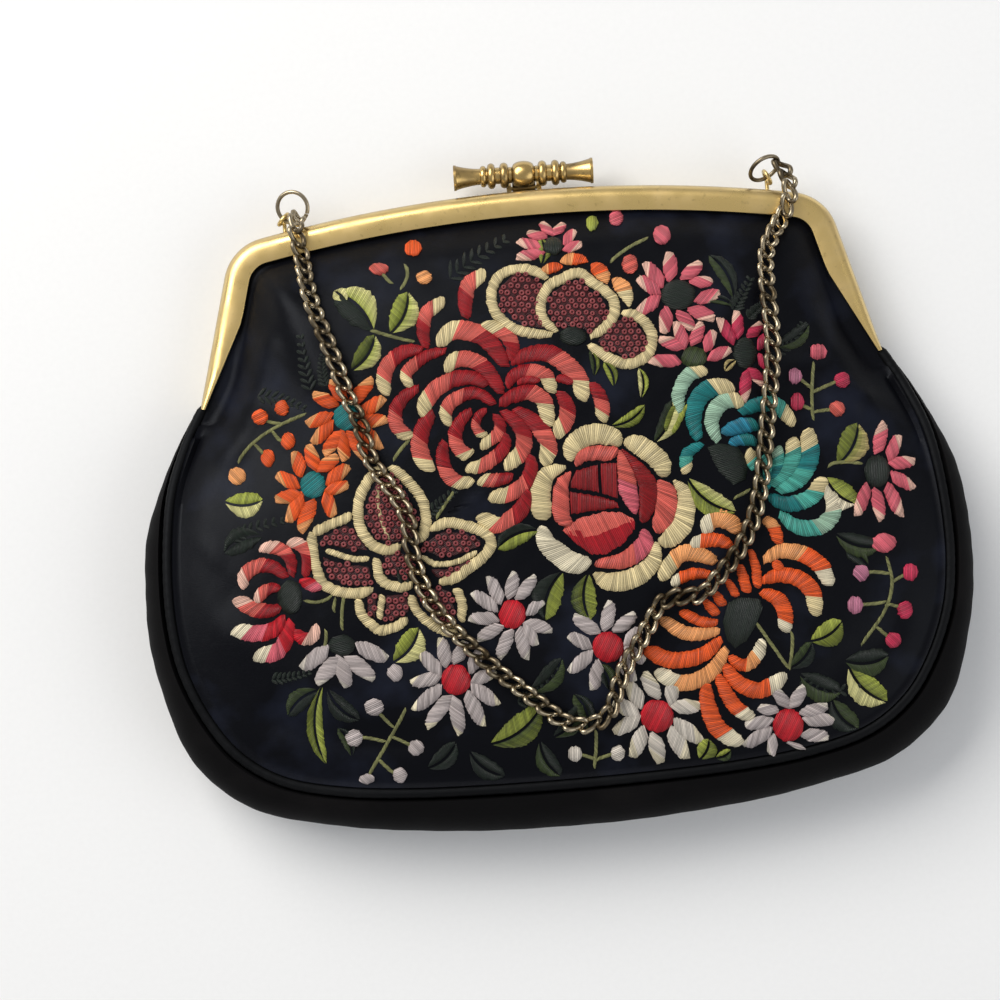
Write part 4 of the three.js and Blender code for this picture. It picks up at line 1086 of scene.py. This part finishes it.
petalSilk = silkFinish("petalSilk", stitchSize["pitch"], 0.44, 0.5)
leafSilk = silkFinish("leafSilk", stitchSize["pitch"], 0.46, 0.55)


def daisy(sewing, centre, tips, half, inner, outer, stop):
    x, y, across, down = centre
    for tipX, tipY in tips:
        dx, dy = tipX - x, tipY - y
        edge = 1 / math.hypot(dx / (across + 1.5), dy / (down + 1.5))
        base = (x + dx * edge, y + dy * edge)
        sewBlade(sewing, [base, (tipX, tipY)], half * 1.12, ((stop, inner), (1, outer)), "leaf",
                 random.choice([-0.7, 0.75]), 0.9)


# curled chrysanthemum petals: base, way past, tip, half width, and their three dyes
def chrysanthemum(sewing, rows, bandNames, slant):
    for path, half, *own in rows:
        names = own[0] if own else bandNames
        stops = {1: (1,), 2: (0.5, 1), 3: (0.46, 0.78, 1)}[len(names)]
        sewBlade(sewing, path, half, tuple(zip(stops, names)), "curl", slant)


redRows = (
    (((505, 367), (496, 351), (484, 338), (470, 332), (453, 331), (436, 342)), 10),
    (((501, 394), (493, 379), (482, 366), (470, 360), (456, 360), (444, 368)), 8.5),
    (((487, 386), (474, 379), (456, 379), (439, 387), (427, 400), (420, 416)), 8.5),
    (((494, 405), (481, 395), (467, 394), (453, 401), (446, 412), (447, 426)), 7),
    (((423, 350), (405, 352), (391, 362), (384, 377), (384, 395)), 8),
    (((446, 351), (429, 355), (415, 364), (407, 374), (408, 388)), 6.5),
    (((419, 388), (406, 396), (397, 408), (396, 422), (403, 433), (410, 439)), 7.5),
    (((434, 413), (425, 425), (420, 441), (422, 457), (429, 472)), 9),
    (((445, 441), (443, 455), (446, 470), (456, 481), (473, 484)), 7.5),
    (((472, 411), (462, 420), (456, 432), (457, 444), (464, 453), (472, 455)), 7.5),
    (((487, 410), (480, 415), (476, 424), (479, 432), (486, 437)), 5),
    (((496, 414), (500, 425), (496, 436), (480, 446)), 6.5),
    (((506, 433), (505, 446), (494, 458), (480, 466), (466, 467)), 7),
    (((503, 410), (518, 424), (524, 438), (520, 453), (504, 467)), 8.5),
    (((515, 408), (532, 420), (543, 433), (548, 448), (542, 464)), 9),
    (((499, 403), (515, 395), (531, 393), (544, 403), (548, 426)), 8.5),
    (((506, 386), (515, 375), (531, 371), (546, 377), (551, 393)), 7.5),
    (((511, 361), (529, 354), (549, 354), (568, 366), (580, 383), (580, 400)), 9.5),
    (((512, 362), (512, 347), (505, 334), (484, 322)), 8), (((465, 318), (465, 300), (470, 284), (486, 274)), 8.5),
    (((425, 348), (423, 329), (428, 312), (445, 301)), 7.5), (((517, 383), (527, 379), (539, 382)), 5, ("red",)),
    (((556, 378), (565, 379), (574, 384)), 5, ("red",)), (((561, 391), (567, 406), (565, 421), (554, 434)), 8.5),
    (((592, 382), (599, 394), (602, 407), (601, 421)), 7.5),
    (((513, 477), (496, 480), (479, 479)), 7), (((532, 455), (531, 470), (524, 484), (508, 494), (489, 496)), 8),
    (((529, 489), (524, 505), (512, 518), (496, 524), (480, 514)), 9))
tealRows = (
    (((680, 414), (679, 394), (688, 376), (706, 368)), 7.5, ("mist", "mist", "cream")),
    (((699, 440), (694, 420), (698, 400), (712, 388), (734, 386)), 9.5, ("teal", "teal", "cream")),
    (((719, 441), (712, 424), (717, 408), (729, 400), (744, 402)), 8.5, ("mist", "mist", "cream")),
    (((724, 435), (738, 427), (758, 424)), 8, ("lagoon", "lagoon", "teal")),
    (((730, 445), (742, 440), (757, 441)), 6, ("lagoon", "teal")),
    (((740, 413), (758, 405), (777, 406), (795, 424)), 8, ("teal", "sea", "cream")),
    (((702, 443), (689, 452), (686, 462), (688, 473)), 6.5, ("teal", "sea", "cream")),
    (((771, 486), (786, 472), (793, 456), (791, 438)), 8.5, ("sea", "sea", "cream")),
    (((778, 492), (799, 478), (810, 456), (806, 429)), 9.5, ("sea", "teal", "cream")),
    (((768, 498), (790, 504), (812, 496), (823, 477)), 8.5, ("teal", "sea", "cream")),
    (((779, 514), (798, 527), (820, 526), (833, 512), (830, 493)), 8.5, ("sea", "mist", "ivory")),
    (((754, 470), (752, 460), (747, 450)), 6, ("sea", "cream")),
    (((771, 480), (778, 464), (776, 447)), 6.5, ("teal", "sea", "mist")),
    (((764, 492), (768, 474), (763, 455)), 5.5, ("teal", "sea")))
orangeRows = (
    (((739, 533), (730, 523), (716, 519), (701, 529)), 9.5, ("apricot", "apricot", "ivory")),
    (((731, 547), (713, 540), (690, 545)), 7.5, ("orange", "orange", "ivory")),
    (((716, 563), (700, 555), (680, 555), (659, 579)), 8.5, ("apricot", "apricot", "cream")),
    (((713, 577), (692, 574), (671, 584)), 6, ("orange", "orange", "ivory")),
    (((764, 518), (774, 528), (777, 544)), 6.5, ("apricot", "orange")),
    (((750, 549), (756, 569), (757, 588)), 5, ("orange", "orange")),
    (((740, 564), (744, 580), (747, 593)), 5.5, ("orange", "orange")),
    (((727, 579), (732, 588), (736, 597)), 4.5, ("orange", "orange")),
    (((714, 591), (719, 599), (724, 606)), 5, ("orange", "orange")),
    (((705, 599), (711, 608), (718, 615)), 5, ("orange", "orange")),
    (((763, 560), (782, 551), (805, 555), (822, 568), (829, 586)), 8.5, ("apricot", "orange", "ivory")),
    (((762, 580), (781, 575), (801, 580), (813, 594), (815, 616)), 8.5, ("orange", "orange", "cream")),
    (((761, 591), (778, 599), (785, 614), (784, 632)), 8, ("orange", "orange", "ivory")),
    (((778, 560), (778, 566), (778, 572)), 6, ("orange", "orange")),
    (((718, 622), (700, 621), (681, 610)), 5.5, ("orange", "orange")),
    (((720, 631), (702, 634), (683, 632), (661, 618)), 7, ("apricot", "apricot", "apricot")),
    (((722, 639), (704, 654), (682, 660), (664, 658), (646, 648)), 8.5, ("orange", "orange")),
    (((727, 648), (715, 668), (698, 680), (677, 682), (656, 670)), 8.5, ("apricot", "apricot", "ivory")),
    (((707, 683), (708, 705), (718, 728), (741, 745)), 9, ("orange", "orange", "ivory")),
    (((718, 674), (727, 694), (737, 708), (752, 719)), 7.5, ("orange", "orange", "ivory")),
    (((724, 664), (739, 683), (760, 690), (787, 676)), 8.5, ("orange", "orange", "ivory")),
    (((730, 655), (748, 664), (764, 640)), 7, ("orange", "apricot", "ivory")))
scarletRows = (
    (((291, 576), (285, 553), (260, 547)), 7), (((303, 576), (306, 553), (289, 540)), 7),
    (((286, 578), (275, 569), (261, 566), (247, 573), (240, 587)), 7.5), (((279, 591), (268, 590), (254, 601)), 6.5),
    (((281, 610), (265, 611), (250, 607), (237, 597)), 8), (((286, 619), (272, 630), (254, 633), (233, 629)), 8.5,
                                                         ("cherry", "pink", "ivory")),
    (((292, 621), (286, 639), (275, 652), (254, 655)), 8.5, ("cherry", "pink", "ivory")),
    (((297, 629), (306, 637), (320, 629)), 8, ("cherry", "blush")),
    (((303, 578), (311, 584), (322, 589)), 7, ("cherry", "pink")))

print("sewing the flowers")
curls = newSewing()
chrysanthemum(curls, redRows, ("red", "salmon", "cream"), 0.55)
chrysanthemum(curls, tealRows, ("teal", "sea", "cream"), -0.4)
chrysanthemum(curls, orangeRows, ("orange", "orange", "ivory"), 0.35)
chrysanthemum(curls, scarletRows, ("red", "salmon", "blush"), 0.6)
sewPatch(curls, [(706, 447), (720, 443), (740, 447), (749, 466), (746, 480), (733, 485), (718, 471)], 12, "pine")
sewPatch(curls, [(726, 603), (741, 596), (760, 598), (763, 607), (757, 624), (746, 642), (735, 649), (726, 640),
                 (722, 620)], 70, "pine")
sewPatch(curls, oval(290, 597, 13, 18), 40, "pine")
finishSewing("chrysanthemum_stitches", curls, petalSilk)

daisyRows = (
    ((553, 246, 10, 10), ((529, 230), (544, 221), (561, 222), (577, 232), (582, 247), (516, 243), (516, 260)), 6,
     "pink", "blush", "pine", 80),
    ((678, 295, 18, 15.5), ((666, 252), (698, 260), (710, 277), (720, 297), (713, 322), (689, 331), (660, 332),
                            (636, 309), (636, 281), (642, 264)), 7.5, "pink", "blush", "pine", 10),
    ((694, 357, 13.5, 11), ((648, 363), (660, 336), (673, 322), (699, 321), (717, 333), (732, 352)), 6.5, "pink",
     "blush", "moss", 60),
    ((745, 353, 12, 16), ((716, 318), (734, 310), (759, 321), (767, 338), (767, 364), (762, 387), (746, 403)), 6,
     "hotPink", "blush", "pine", 5),
    ((877, 471, 13, 17), ((882, 420), (902, 436), (915, 458), (916, 486), (904, 517), (879, 522), (854, 516)), 6.5,
     "pink", "blush", "pine", 80),
    ((346, 417, 13, 14), ((314, 391), (334, 378), (371, 376), (387, 400), (388, 423), (384, 448), (364, 462),
                          (342, 462), (326, 457), (310, 441), (305, 421)), 7, "orange", "apricot", "teal", 35),
    ((313, 485, 13, 14), ((291, 453), (312, 444), (335, 453), (351, 469), (348, 489), (337, 514), (303, 534),
                          (285, 521), (276, 503), (275, 478)), 7.5, "orange", "apricot", "teal", 35),
    ((512, 614, 14, 15), ((486, 577), (512, 571), (534, 574), (545, 604), (552, 633), (539, 644), (529, 660),
                          (501, 660), (478, 642), (468, 621), (470, 594)), 6.5, "lilac", "pearl", "cherry", 60),
    ((456, 680, 15, 16), ((438, 638), (462, 640), (417, 654), (410, 680), (411, 709), (428, 730), (458, 736),
                          (486, 726), (501, 703), (497, 675), (484, 652)), 7, "lilac", "ivory", "cherry", 60),
    ((342, 645, 14, 11), ((299, 666), (319, 686), (344, 688), (372, 682), (389, 656)), 8, "lilac", "pearl", "pine",
     10),
    ((608, 647, 16, 16), ((575, 613), (608, 600), (633, 611), (643, 632), (567, 638), (567, 670), (590, 690),
                          (637, 680), (646, 658)), 7, "lilac", "pearl", "cherry", 60),
    ((657, 716, 17, 17), ((648, 671), (625, 685), (679, 680), (700, 702), (704, 739), (690, 758), (657, 764),
                          (629, 756), (612, 729), (612, 705)), 8, "pearl", "ivory", "cherry", 60),
    ((788, 725, 16, 17), ((761, 704), (779, 688), (803, 683), (827, 703), (838, 717), (828, 740), (797, 749),
                          (767, 751), (742, 744), (745, 722)), 7, "lilac", "pearl", "cherry", 60))
daisies = newSewing()
for centre, tips, half, inner, outer, heart, angle in daisyRows:
    daisy(daisies, centre, tips, half, inner, outer, 0.66 if inner != "lilac" else 0.8)
    sewPatch(daisies, oval(*centre), angle, heart, 1.25)
finishSewing("daisy_stitches", daisies, petalSilk)

# the rose in the middle: cream and pink bands round a red heart
roseBands = (
    (((569, 461), (572, 447), (584, 437), (599, 434), (613, 438), (620, 446)), (5, 9.5, 10.5, 10.5, 9.5, 4),
     "cream", "cream"),
    (((624, 441), (637, 444), (651, 453), (661, 464), (664, 477)), (5, 9.5, 10.5, 10, 6), "cream", "cream"),
    (((674, 480), (684, 492), (686, 507), (682, 525), (669, 538), (658, 541)), (3, 7, 9.5, 10.5, 10, 4),
     "cream", "cream"),
    (((665, 481), (667, 499), (663, 516), (654, 530)), (8.5, 11, 11.5, 6), "salmon", "salmon"),
    (((647, 530), (645, 543), (634, 554), (618, 561), (595, 563)), (5, 9, 9.5, 7.5, 4.5), "pink", "salmon"),
    (((657, 542), (654, 561), (641, 574), (623, 581), (607, 581), (594, 573)), (4, 8, 9.5, 10, 9, 4),
     "cream", "cream"),
    (((544, 526), (547, 541), (559, 554), (573, 563), (589, 567)), (5, 10, 11, 11, 8.5), "ivory", "ivory"),
    (((566, 467), (548, 474), (541, 490), (541, 506), (542, 520)), (3, 8.5, 10, 10.5, 8.5), "cream", "cream"),
    (((571, 472), (563, 485), (561, 501), (562, 517), (569, 527)), (2, 7.5, 8.5, 8.5, 4), "salmon", "salmon"),
    (((575, 465), (582, 456), (596, 453), (617, 454)), (3, 6.5, 7.5, 7.5), "salmon", "salmon"),
    (((620, 450), (626, 472), (629, 494), (635, 514)), (2.5, 8.5, 9.5, 3), "salmon", "pink"),
    (((622, 449), (640, 470), (648, 486), (647, 504), (641, 522)), (1.5, 7, 9.5, 9, 4), "darkRed", "darkRed"))
rose = newSewing()
for path, half, first, second in roseBands:
    sewBlade(rose, path, half, ((0.5, first), (1, second)), "band", 0.15 if first == "cream" else 0.5)
for outline in (((570, 484), (576, 470), (598, 464), (599, 493), (570, 488)),
                ((600.4, 463), (617, 462), (618, 499), (601.5, 494.4)),
                ((569.5, 490.5), (599, 496), (618, 502), (619, 508), (596, 511), (570.5, 515))):
    sewPatch(rose, outline, 84, "darkRed", 0.7)
lipLine = fromChart([(562, 532), (580, 535), (607, 531), (636, 520)])


def lipDye(place):
    limit = np.interp(place[0], lipLine[:, 0], lipLine[:, 1]) + random.uniform(-0.35, 0.35)
    return dyes["salmon"] if place[1] > limit else dyes["cherry"] * 0.8


sewPatch(rose, ((562, 530), (579, 517), (604, 511), (621, 512), (635, 519), (635, 529), (623, 545), (606, 555),
                (591, 555), (575, 543)), -68, lipDye)
finishSewing("rose_stitches", rose, petalSilk)

# cream outlines of the knot flower and of the seed fruits, and the ribs inside them
outlineBands = (
    (((381, 467), (366, 484), (358, 506), (361, 529), (373, 545), (387, 550), (401, 547)), 5.3),
    (((390, 466), (407, 480), (421, 498), (426, 517), (424, 532), (418, 540)), 5.3),
    (((352, 516), (332, 524), (313, 533)), 5), (((312, 532), (313, 550), (317, 570), (324, 584), (340, 592),
                                               (358, 593), (373, 590)), 5.2),
    (((377, 558), (379, 575), (387, 584), (401, 587), (413, 585)), 5),
    (((430, 529), (447, 523), (467, 526), (485, 533), (491, 544), (484, 556), (470, 567), (454, 578), (439, 582)),
     5.4),
    (((359, 599), (361, 613), (372, 625), (381, 630), (395, 627), (408, 619)), 5),
    (((412, 595), (415, 608), (428, 622), (444, 631), (457, 634)), 4.6), (((456, 588), (462, 605), (460, 621)), 4.6),
    (((379, 484), (379, 509), (389, 540)), 2.3), (((326, 550), (343, 556), (355, 559), (369, 559)), 3),
    (((421, 556), (436, 564), (456, 562), (477, 552)), 3), (((383, 595), (381, 606), (379, 619)), 3.6),
    (((547, 279), (534, 271), (518, 269), (502, 274), (493, 287), (492, 303), (499, 317), (513, 328), (531, 333),
      (552, 335)), 5.2),
    (((557, 332), (543, 319), (541, 302), (549, 286), (562, 279), (572, 274), (582, 274), (593, 283), (605, 291),
      (614, 302), (613, 316), (604, 328), (590, 337)), 5.4),
    (((589, 344), (601, 353), (618, 362), (632, 363), (646, 356), (652, 342), (649, 328), (637, 316), (622, 312)),
     5.4))
borders = newSewing()
for path, half in outlineBands:
    sewBlade(borders, path, half, ((1, "cream"),), "band", 0.35, 1.1)
for path, half, bands in (
        (((541, 271), (551, 268), (563, 267)), 6, ((0.4, "apricot"), (1, "orange"))),
        (((560, 262), (573, 259), (588, 262)), 6.5, ((0.5, "apricot"), (1, "orange"))),
        (((591, 264), (600, 271), (607, 284)), 8, ((0.6, "orange"), (1, "apricot"))),
        (((612, 279), (623, 288), (629, 307)), 8, ((0.6, "apricot"), (1, "cream")))):
    sewBlade(borders, path, half, bands, "almond", 0.2)
sewPatch(borders, oval(573, 336, 14, 10), 15, "pine", 1.2)
knotFields = (
    ((497, 290), (515, 273), (530, 274), (545, 284), (541, 300), (541, 318), (545, 328), (530, 327), (513, 321),
     (499, 306)),
    ((548, 318), (547, 303), (554, 291), (568, 281), (583, 281), (592, 291), (603, 297), (608, 305), (606, 318),
     (592, 333), (575, 327), (562, 328)),
    ((596, 343), (605, 330), (616, 320), (632, 318), (645, 331), (647, 345), (638, 357), (622, 357), (608, 351)),
    ((377, 480), (367, 500), (364, 525), (375, 541), (390, 544), (413, 538), (419, 516), (409, 492), (392, 474)),
    ((319, 541), (345, 524), (354, 528), (368, 550), (345, 549), (325, 545)),
    ((322, 557), (340, 563), (370, 566), (372, 583), (350, 586), (332, 580)),
    ((384, 555), (402, 552), (414, 560), (416, 578), (394, 578), (385, 570)),
    ((420, 545), (445, 530), (466, 532), (482, 540), (478, 547), (455, 556), (436, 557), (424, 552)),
    ((430, 569), (448, 569), (468, 561), (480, 555), (468, 566), (450, 575), (438, 579)),
    ((367, 597), (377, 595), (375, 618), (367, 611)), ((386, 596), (407, 593), (410, 610), (395, 620), (385, 620)),
    ((417, 592), (440, 587), (451, 591), (456, 612), (452, 627), (432, 615), (420, 604)))
for outline in knotFields:
    sewPatch(borders, outline, 30, "wine", 0.2)
finishSewing("cream_outline_stitches", borders, petalSilk)

# leaves, stems, buds and berries
leafRows = (
    ((542, 264), (541, 238), 6, "lime", "olive"),
    ((373, 331), (336, 292), 16, "pine", ("lime", "straw")), ((346, 303), (334, 291), 7, "straw", "straw"),
    ((391, 333), (408, 292), 12.5, ("olive", "lime"), ("lime", "straw")),
    ((352, 370), (375, 335), 10.5, ("moss", "olive"), ("lime", "straw")),
    ((775, 346), (809, 324), 8, "pine", "moss"), ((838, 464), (858, 423), 13, "olive", ("olive", "sand")),
    ((826, 478), (856, 504), 13, ("lime", "olive"), "ivory"), ((655, 442), (672, 400), 9, ("moss", "pine"), "straw"),
    ((688, 402), (668, 436), 8, "lime", "olive"), ((612, 426), (645, 405), 6, "lime", "olive"),
    ((688, 479), (736, 512), 11, ("lime", "straw"), ("olive", "lime")), ((836, 534), (881, 546), 10, "pine", "moss"),
    ((538, 530), (497, 549), 10, ("lime", "olive"), "pine"), ((562, 572), (545, 620), 13, ("olive", "lime"), "pine"),
    ((588, 574), (590, 620), 11, ("olive", "lime"), ("olive", "moss")), ((225, 502), (263, 500), 11, "lime", "straw"),
    ((262, 536), (224, 553), 11, "pine", "pine"),
    ((811, 641), (842, 621), 11, "lime", "olive"), ((845, 661), (889, 655), 12, "pine", "moss"),
    ((849, 667), (887, 702), 13, ("olive", "lime"), "straw"), ((800, 674), (842, 692), 12, "pine", "moss"),
    ((832, 700), (858, 729), 11, "moss", "pine"), ((790, 668), (812, 642), 8, "moss", "pine"),
    ((322, 686), (326, 764), 7, "lime", "olive"), ((318, 690), (288, 716), 9, "pine", "moss"),
    ((328, 690), (360, 720), 9, "pine", "pine"), ((394, 662), (419, 628), 12, ("olive", "lime"), "straw"),
    ((491, 744), (541, 706), 13, ("lime", "olive"), ("moss", "olive")), ((554, 737), (582, 704), 9, "pine", "moss"),
    ((700, 759), (709, 739), 9, "lime", "olive"), ((716, 758), (731, 750), 5, "lime", "moss"),
    ((530, 692), (562, 658), 10, "pine", "moss"),
    ((470, 752), (505, 776), 9, "pine", "pine"), ((540, 742), (561, 776), 9, "pine", "moss"),
    ((428, 768), (456, 742), 9, "pine", "pine"), ((589, 730), (574, 694), 8, "moss", "pine"),
    ((405, 596), (396, 566), 5, "pine", "pine"), ((734, 298), (709, 255), 8, "moss", "pine"),
    ((734, 306), (706, 300), 4, "moss", "pine"), ((736, 360), (725, 371), 4, "sand", "sand"),
    ((614, 386), (604, 362), 5, "lime", "olive"), ((594, 376), (590, 350), 4, "moss", "olive"),
    ((641, 398), (639, 368), 4.5, "straw", "lime"), ((868, 566), (846, 552), 7, "pine", "moss"),
    ((352, 756), (338, 728), 6, "moss", "pine"), ((610, 690), (598, 664), 7, "pine", "moss"))
stemRows = (
    ((610, 262), (628, 248), (648, 238)), ((814, 362), (812, 390), (813, 420)), ((813, 390), (804, 382), (797, 377)),
    ((813, 392), (826, 386), (840, 380)), ((813, 410), (804, 406), (797, 402)), ((813, 412), (826, 410), (836, 409)),
    ((306, 414), (262, 436), (238, 463)), ((285, 424), (270, 422), (260, 417)), ((272, 430), (280, 440), (288, 441)),
    ((255, 444), (262, 452), (268, 458)), ((400, 289), (407, 277), (405, 264)), ((392, 284), (386, 278), (380, 270)),
    ((887, 557), (892, 584), (884, 612), (861, 645)), ((890, 574), (876, 572), (862, 573)),
    ((892, 582), (902, 576), (910, 572)), ((886, 602), (870, 604), (856, 605)), ((886, 604), (896, 606), (905, 610)),
    ((876, 626), (885, 634), (893, 640)), ((756, 622), (772, 645), (789, 669)), ((789, 669), (792, 650), (792, 632)),
    ((406, 709), (388, 742), (369, 774)), ((394, 728), (382, 716), (374, 707)), ((385, 742), (368, 738), (354, 738)),
    ((390, 736), (404, 742), (416, 748)), ((378, 758), (390, 770), (400, 775)), ((596, 730), (596, 750), (594, 768)),
    ((596, 760), (586, 756), (576, 754)), ((596, 760), (606, 756), (617, 753)), ((828, 466), (842, 462), (862, 464)),
    ((305, 600), (318, 602), (332, 596)), ((344, 596), (342, 612), (342, 630)), ((336, 598), (334, 606), (334, 612)),
    ((326, 630), (326, 640), (324, 650)), ((393, 460), (402, 448), (410, 440)), ((436, 518), (444, 506), (454, 492)),
    ((734, 498), (742, 494), (750, 490)), ((371, 330), (390, 336), (414, 342)))
fernRows = (
    (((450, 278), (478, 256), (512, 236)), 13), (((748, 318), (756, 310), (766, 301)), 7),
    (((733, 310), (742, 295), (752, 275)), 9), (((272, 679), (292, 677), (314, 671)), 7),
    (((800, 682), (832, 690), (866, 688)), 11), (((776, 352), (794, 338), (804, 320)), 8),
    (((310, 390), (304, 362), (300, 330)), 9), (((326, 386), (322, 370), (324, 352)), 7),
    (((258, 396), (284, 400), (308, 411)), 9), (((232, 540), (256, 527), (290, 520)), 9),
    (((424, 516), (440, 504), (458, 488)), 9), (((518, 702), (542, 690), (564, 664)), 9))
budRows = (
    (616, 218, 8, 9, "pink"), (662, 235, 10, 11, "pink"), (630, 264, 9, 11, "salmon"), (592, 223, 7, 9, "lime"),
    (818, 352, 10, 9, "pink"), (795, 376, 8, 9, "mauve"), (842, 380, 9, 9, "hotPink"), (797, 402, 8, 10, "hotPink"),
    (837, 409, 9, 9, "salmon"), (260, 417, 9, 9, "orange"), (282, 408, 8, 9, "orange"), (288, 441, 8, 10, "orange"),
    (268, 458, 8, 10, "orange"), (237, 476, 10, 10, "apricot"), (413, 248, 10, 9, "orange"),
    (379, 269, 11, 7, "salmon"), (424, 277, 9, 8, "apricot"), (884, 543, 14, 11, "pink"), (861, 573, 9, 10, "mauve"),
    (910, 572, 9, 10, "hotPink"), (855, 605, 9, 10, "mauve"), (905, 610, 9, 10, "hotPink"),
    (893, 640, 9, 9, "hotPink"), (395, 673, 9, 10, "lilac"), (374, 707, 11, 10, "lilac"), (354, 738, 10, 10, "lilac"),
    (416, 748, 9, 9, "lilac"), (367, 779, 9, 6, "lilac"), (400, 775, 8, 9, "lilac"), (575, 754, 8, 9, "pearl"),
    (618, 753, 8, 9, "pearl"))
greens = newSewing()
for row in leafRows:
    sewLeaf(greens, *row)
for path in stemRows:
    sewBlade(greens, path, 1.8, ((1, "reed"),), "stem", 1.2, 1.0, 0.4)
for path, reach in fernRows:
    spine = smoothPath(path, 9)
    for step in range(8):
        way = spine[step + 1] - spine[step]
        way = way / np.linalg.norm(way)
        for side in (-1, 1):
            out = way * 0.75 + side * np.array([-way[1], way[0]]) * 0.8
            tip = spine[step] + out * reach * (1.15 - 0.09 * step) * random.uniform(0.85, 1.1)
            sewBlade(greens, [spine[step], tip], 2.1, ((1, "pine"),), "almond", 0.6, 0.8, 0.4)
for x, y, across, down, name in budRows:
    sewPatch(greens, oval(x, y, across * 0.92, down * 0.92, 16), random.choice([20, 85, 130]), name, 1.2)
finishSewing("leaf_and_bud_stitches", greens, leafSilk)

# seed knots: small wound rings set close inside the outlines
knotSize = {"spacing": 7.1, "ring": 0.36, "thread": 0.21}


def isInside(place, outline):
    inside = False
    for i in range(len(outline)):
        (ax, ay), (bx, by) = outline[i - 1], outline[i]
        if (ay > place[1]) != (by > place[1]) and place[0] < ax + (bx - ax) * (place[1] - ay) / (by - ay):
            inside = not inside
    return inside


def knotPlaces(fields):
    found = []
    for outline in fields:
        low, high = np.min(outline, 0), np.max(outline, 0)
        for row, y in enumerate(np.arange(low[1] + 1, high[1], knotSize["spacing"] * 0.87)):
            for x in np.arange(low[0] + (row % 2) * knotSize["spacing"] / 2, high[0], knotSize["spacing"]):
                place = np.array([x, y]) + random.uniform(-0.9, 0.9, 2)
                if isInside(place, outline):
                    found.append(place)
    plan = fromChart(found)
    return np.concatenate([plan + (0, middleShift), (clothTop(plan) + 0.3)[:, None]], 1) * mm


def spread(tree, kind, seed, low, high):
    made = addNode(tree, "FunctionNodeRandomValue", {"Seed": seed}, data_type=kind)
    limits = [socket for socket in made.inputs if socket.enabled and socket.name in ("Min", "Max")]
    limits[0].default_value, limits[1].default_value = low, high
    return next(socket for socket in made.outputs if socket.enabled)


def knotTree():
    tree, given, result = newGroup("seedKnots", "GeometryNodeTree", {
        "Geometry": "Geometry", "Ring": knotSize["ring"] * mm, "Thread": knotSize["thread"] * mm,
        "Finish": "Material"}, {"Geometry": "Geometry"})
    ring = addNode(tree, "GeometryNodeCurvePrimitiveCircle", {"Resolution": 11, "Radius": given["Ring"]})
    endTree(tree, result, addNode(tree, "GeometryNodeInstanceOnPoints", {
        "Points": given["Geometry"], "Instance": wireTree(tree, ring, given["Thread"], 6),
        "Rotation": spread(tree, "FLOAT_VECTOR", 4, (-0.22, -0.22, 0), (0.22, 0.22, 6.28)),
        "Scale": spread(tree, "FLOAT", 9, 0.86, 1.12)}), given["Finish"])
    return tree


knotSilk, knotShades, knotSurface = newMaterial("knotSilk", {
    "Roughness": 0.45, "Sheen Weight": 0.08, "Specular IOR Level": 0.4})
knotTint = noise(knotShades, objectPlace(knotShades), 380.0, 2.0)
knotPly = noise(knotShades, objectPlace(knotShades), 5200.0, 2.0)
knotBase = mixColour(knotShades, knotTint, tuple(silk(112, 30, 36)), tuple(silk(184, 92, 90)))
feed(knotShades, knotSurface["Base Color"], mixColour(knotShades, knotPly, knotBase, tuple(silk(84, 18, 26))))
addBump(knotShades, knotSurface, knotPly, 0.6, 0.00008)
knotCarrier = bpy.data.meshes.new("knotPlaces")
knotCarrier.from_pydata(knotPlaces(knotFields).tolist(), [], [])
knots = bakeTree("seed_knots", knotCarrier, knotTree(), knotSilk)
print("seed knots:", len(knots.data.polygons), "faces")


# the floor
floorMaterial, floorTree, floorSurface = newMaterial("paleFloor", {"Roughness": 0.8})
floorGrain = noise(floorTree, objectPlace(floorTree), 900.0, 3.0)
feed(floorTree, floorSurface["Base Color"], mixColour(
    floorTree, floorGrain, studio["floor"], tuple(0.96 * value for value in studio["floor"])))
bpy.ops.mesh.primitive_plane_add(size=6, location=(0, 0, -0.0002))
floor = bpy.context.object
floor.name = "floor"
floor.data.materials.append(floorMaterial)
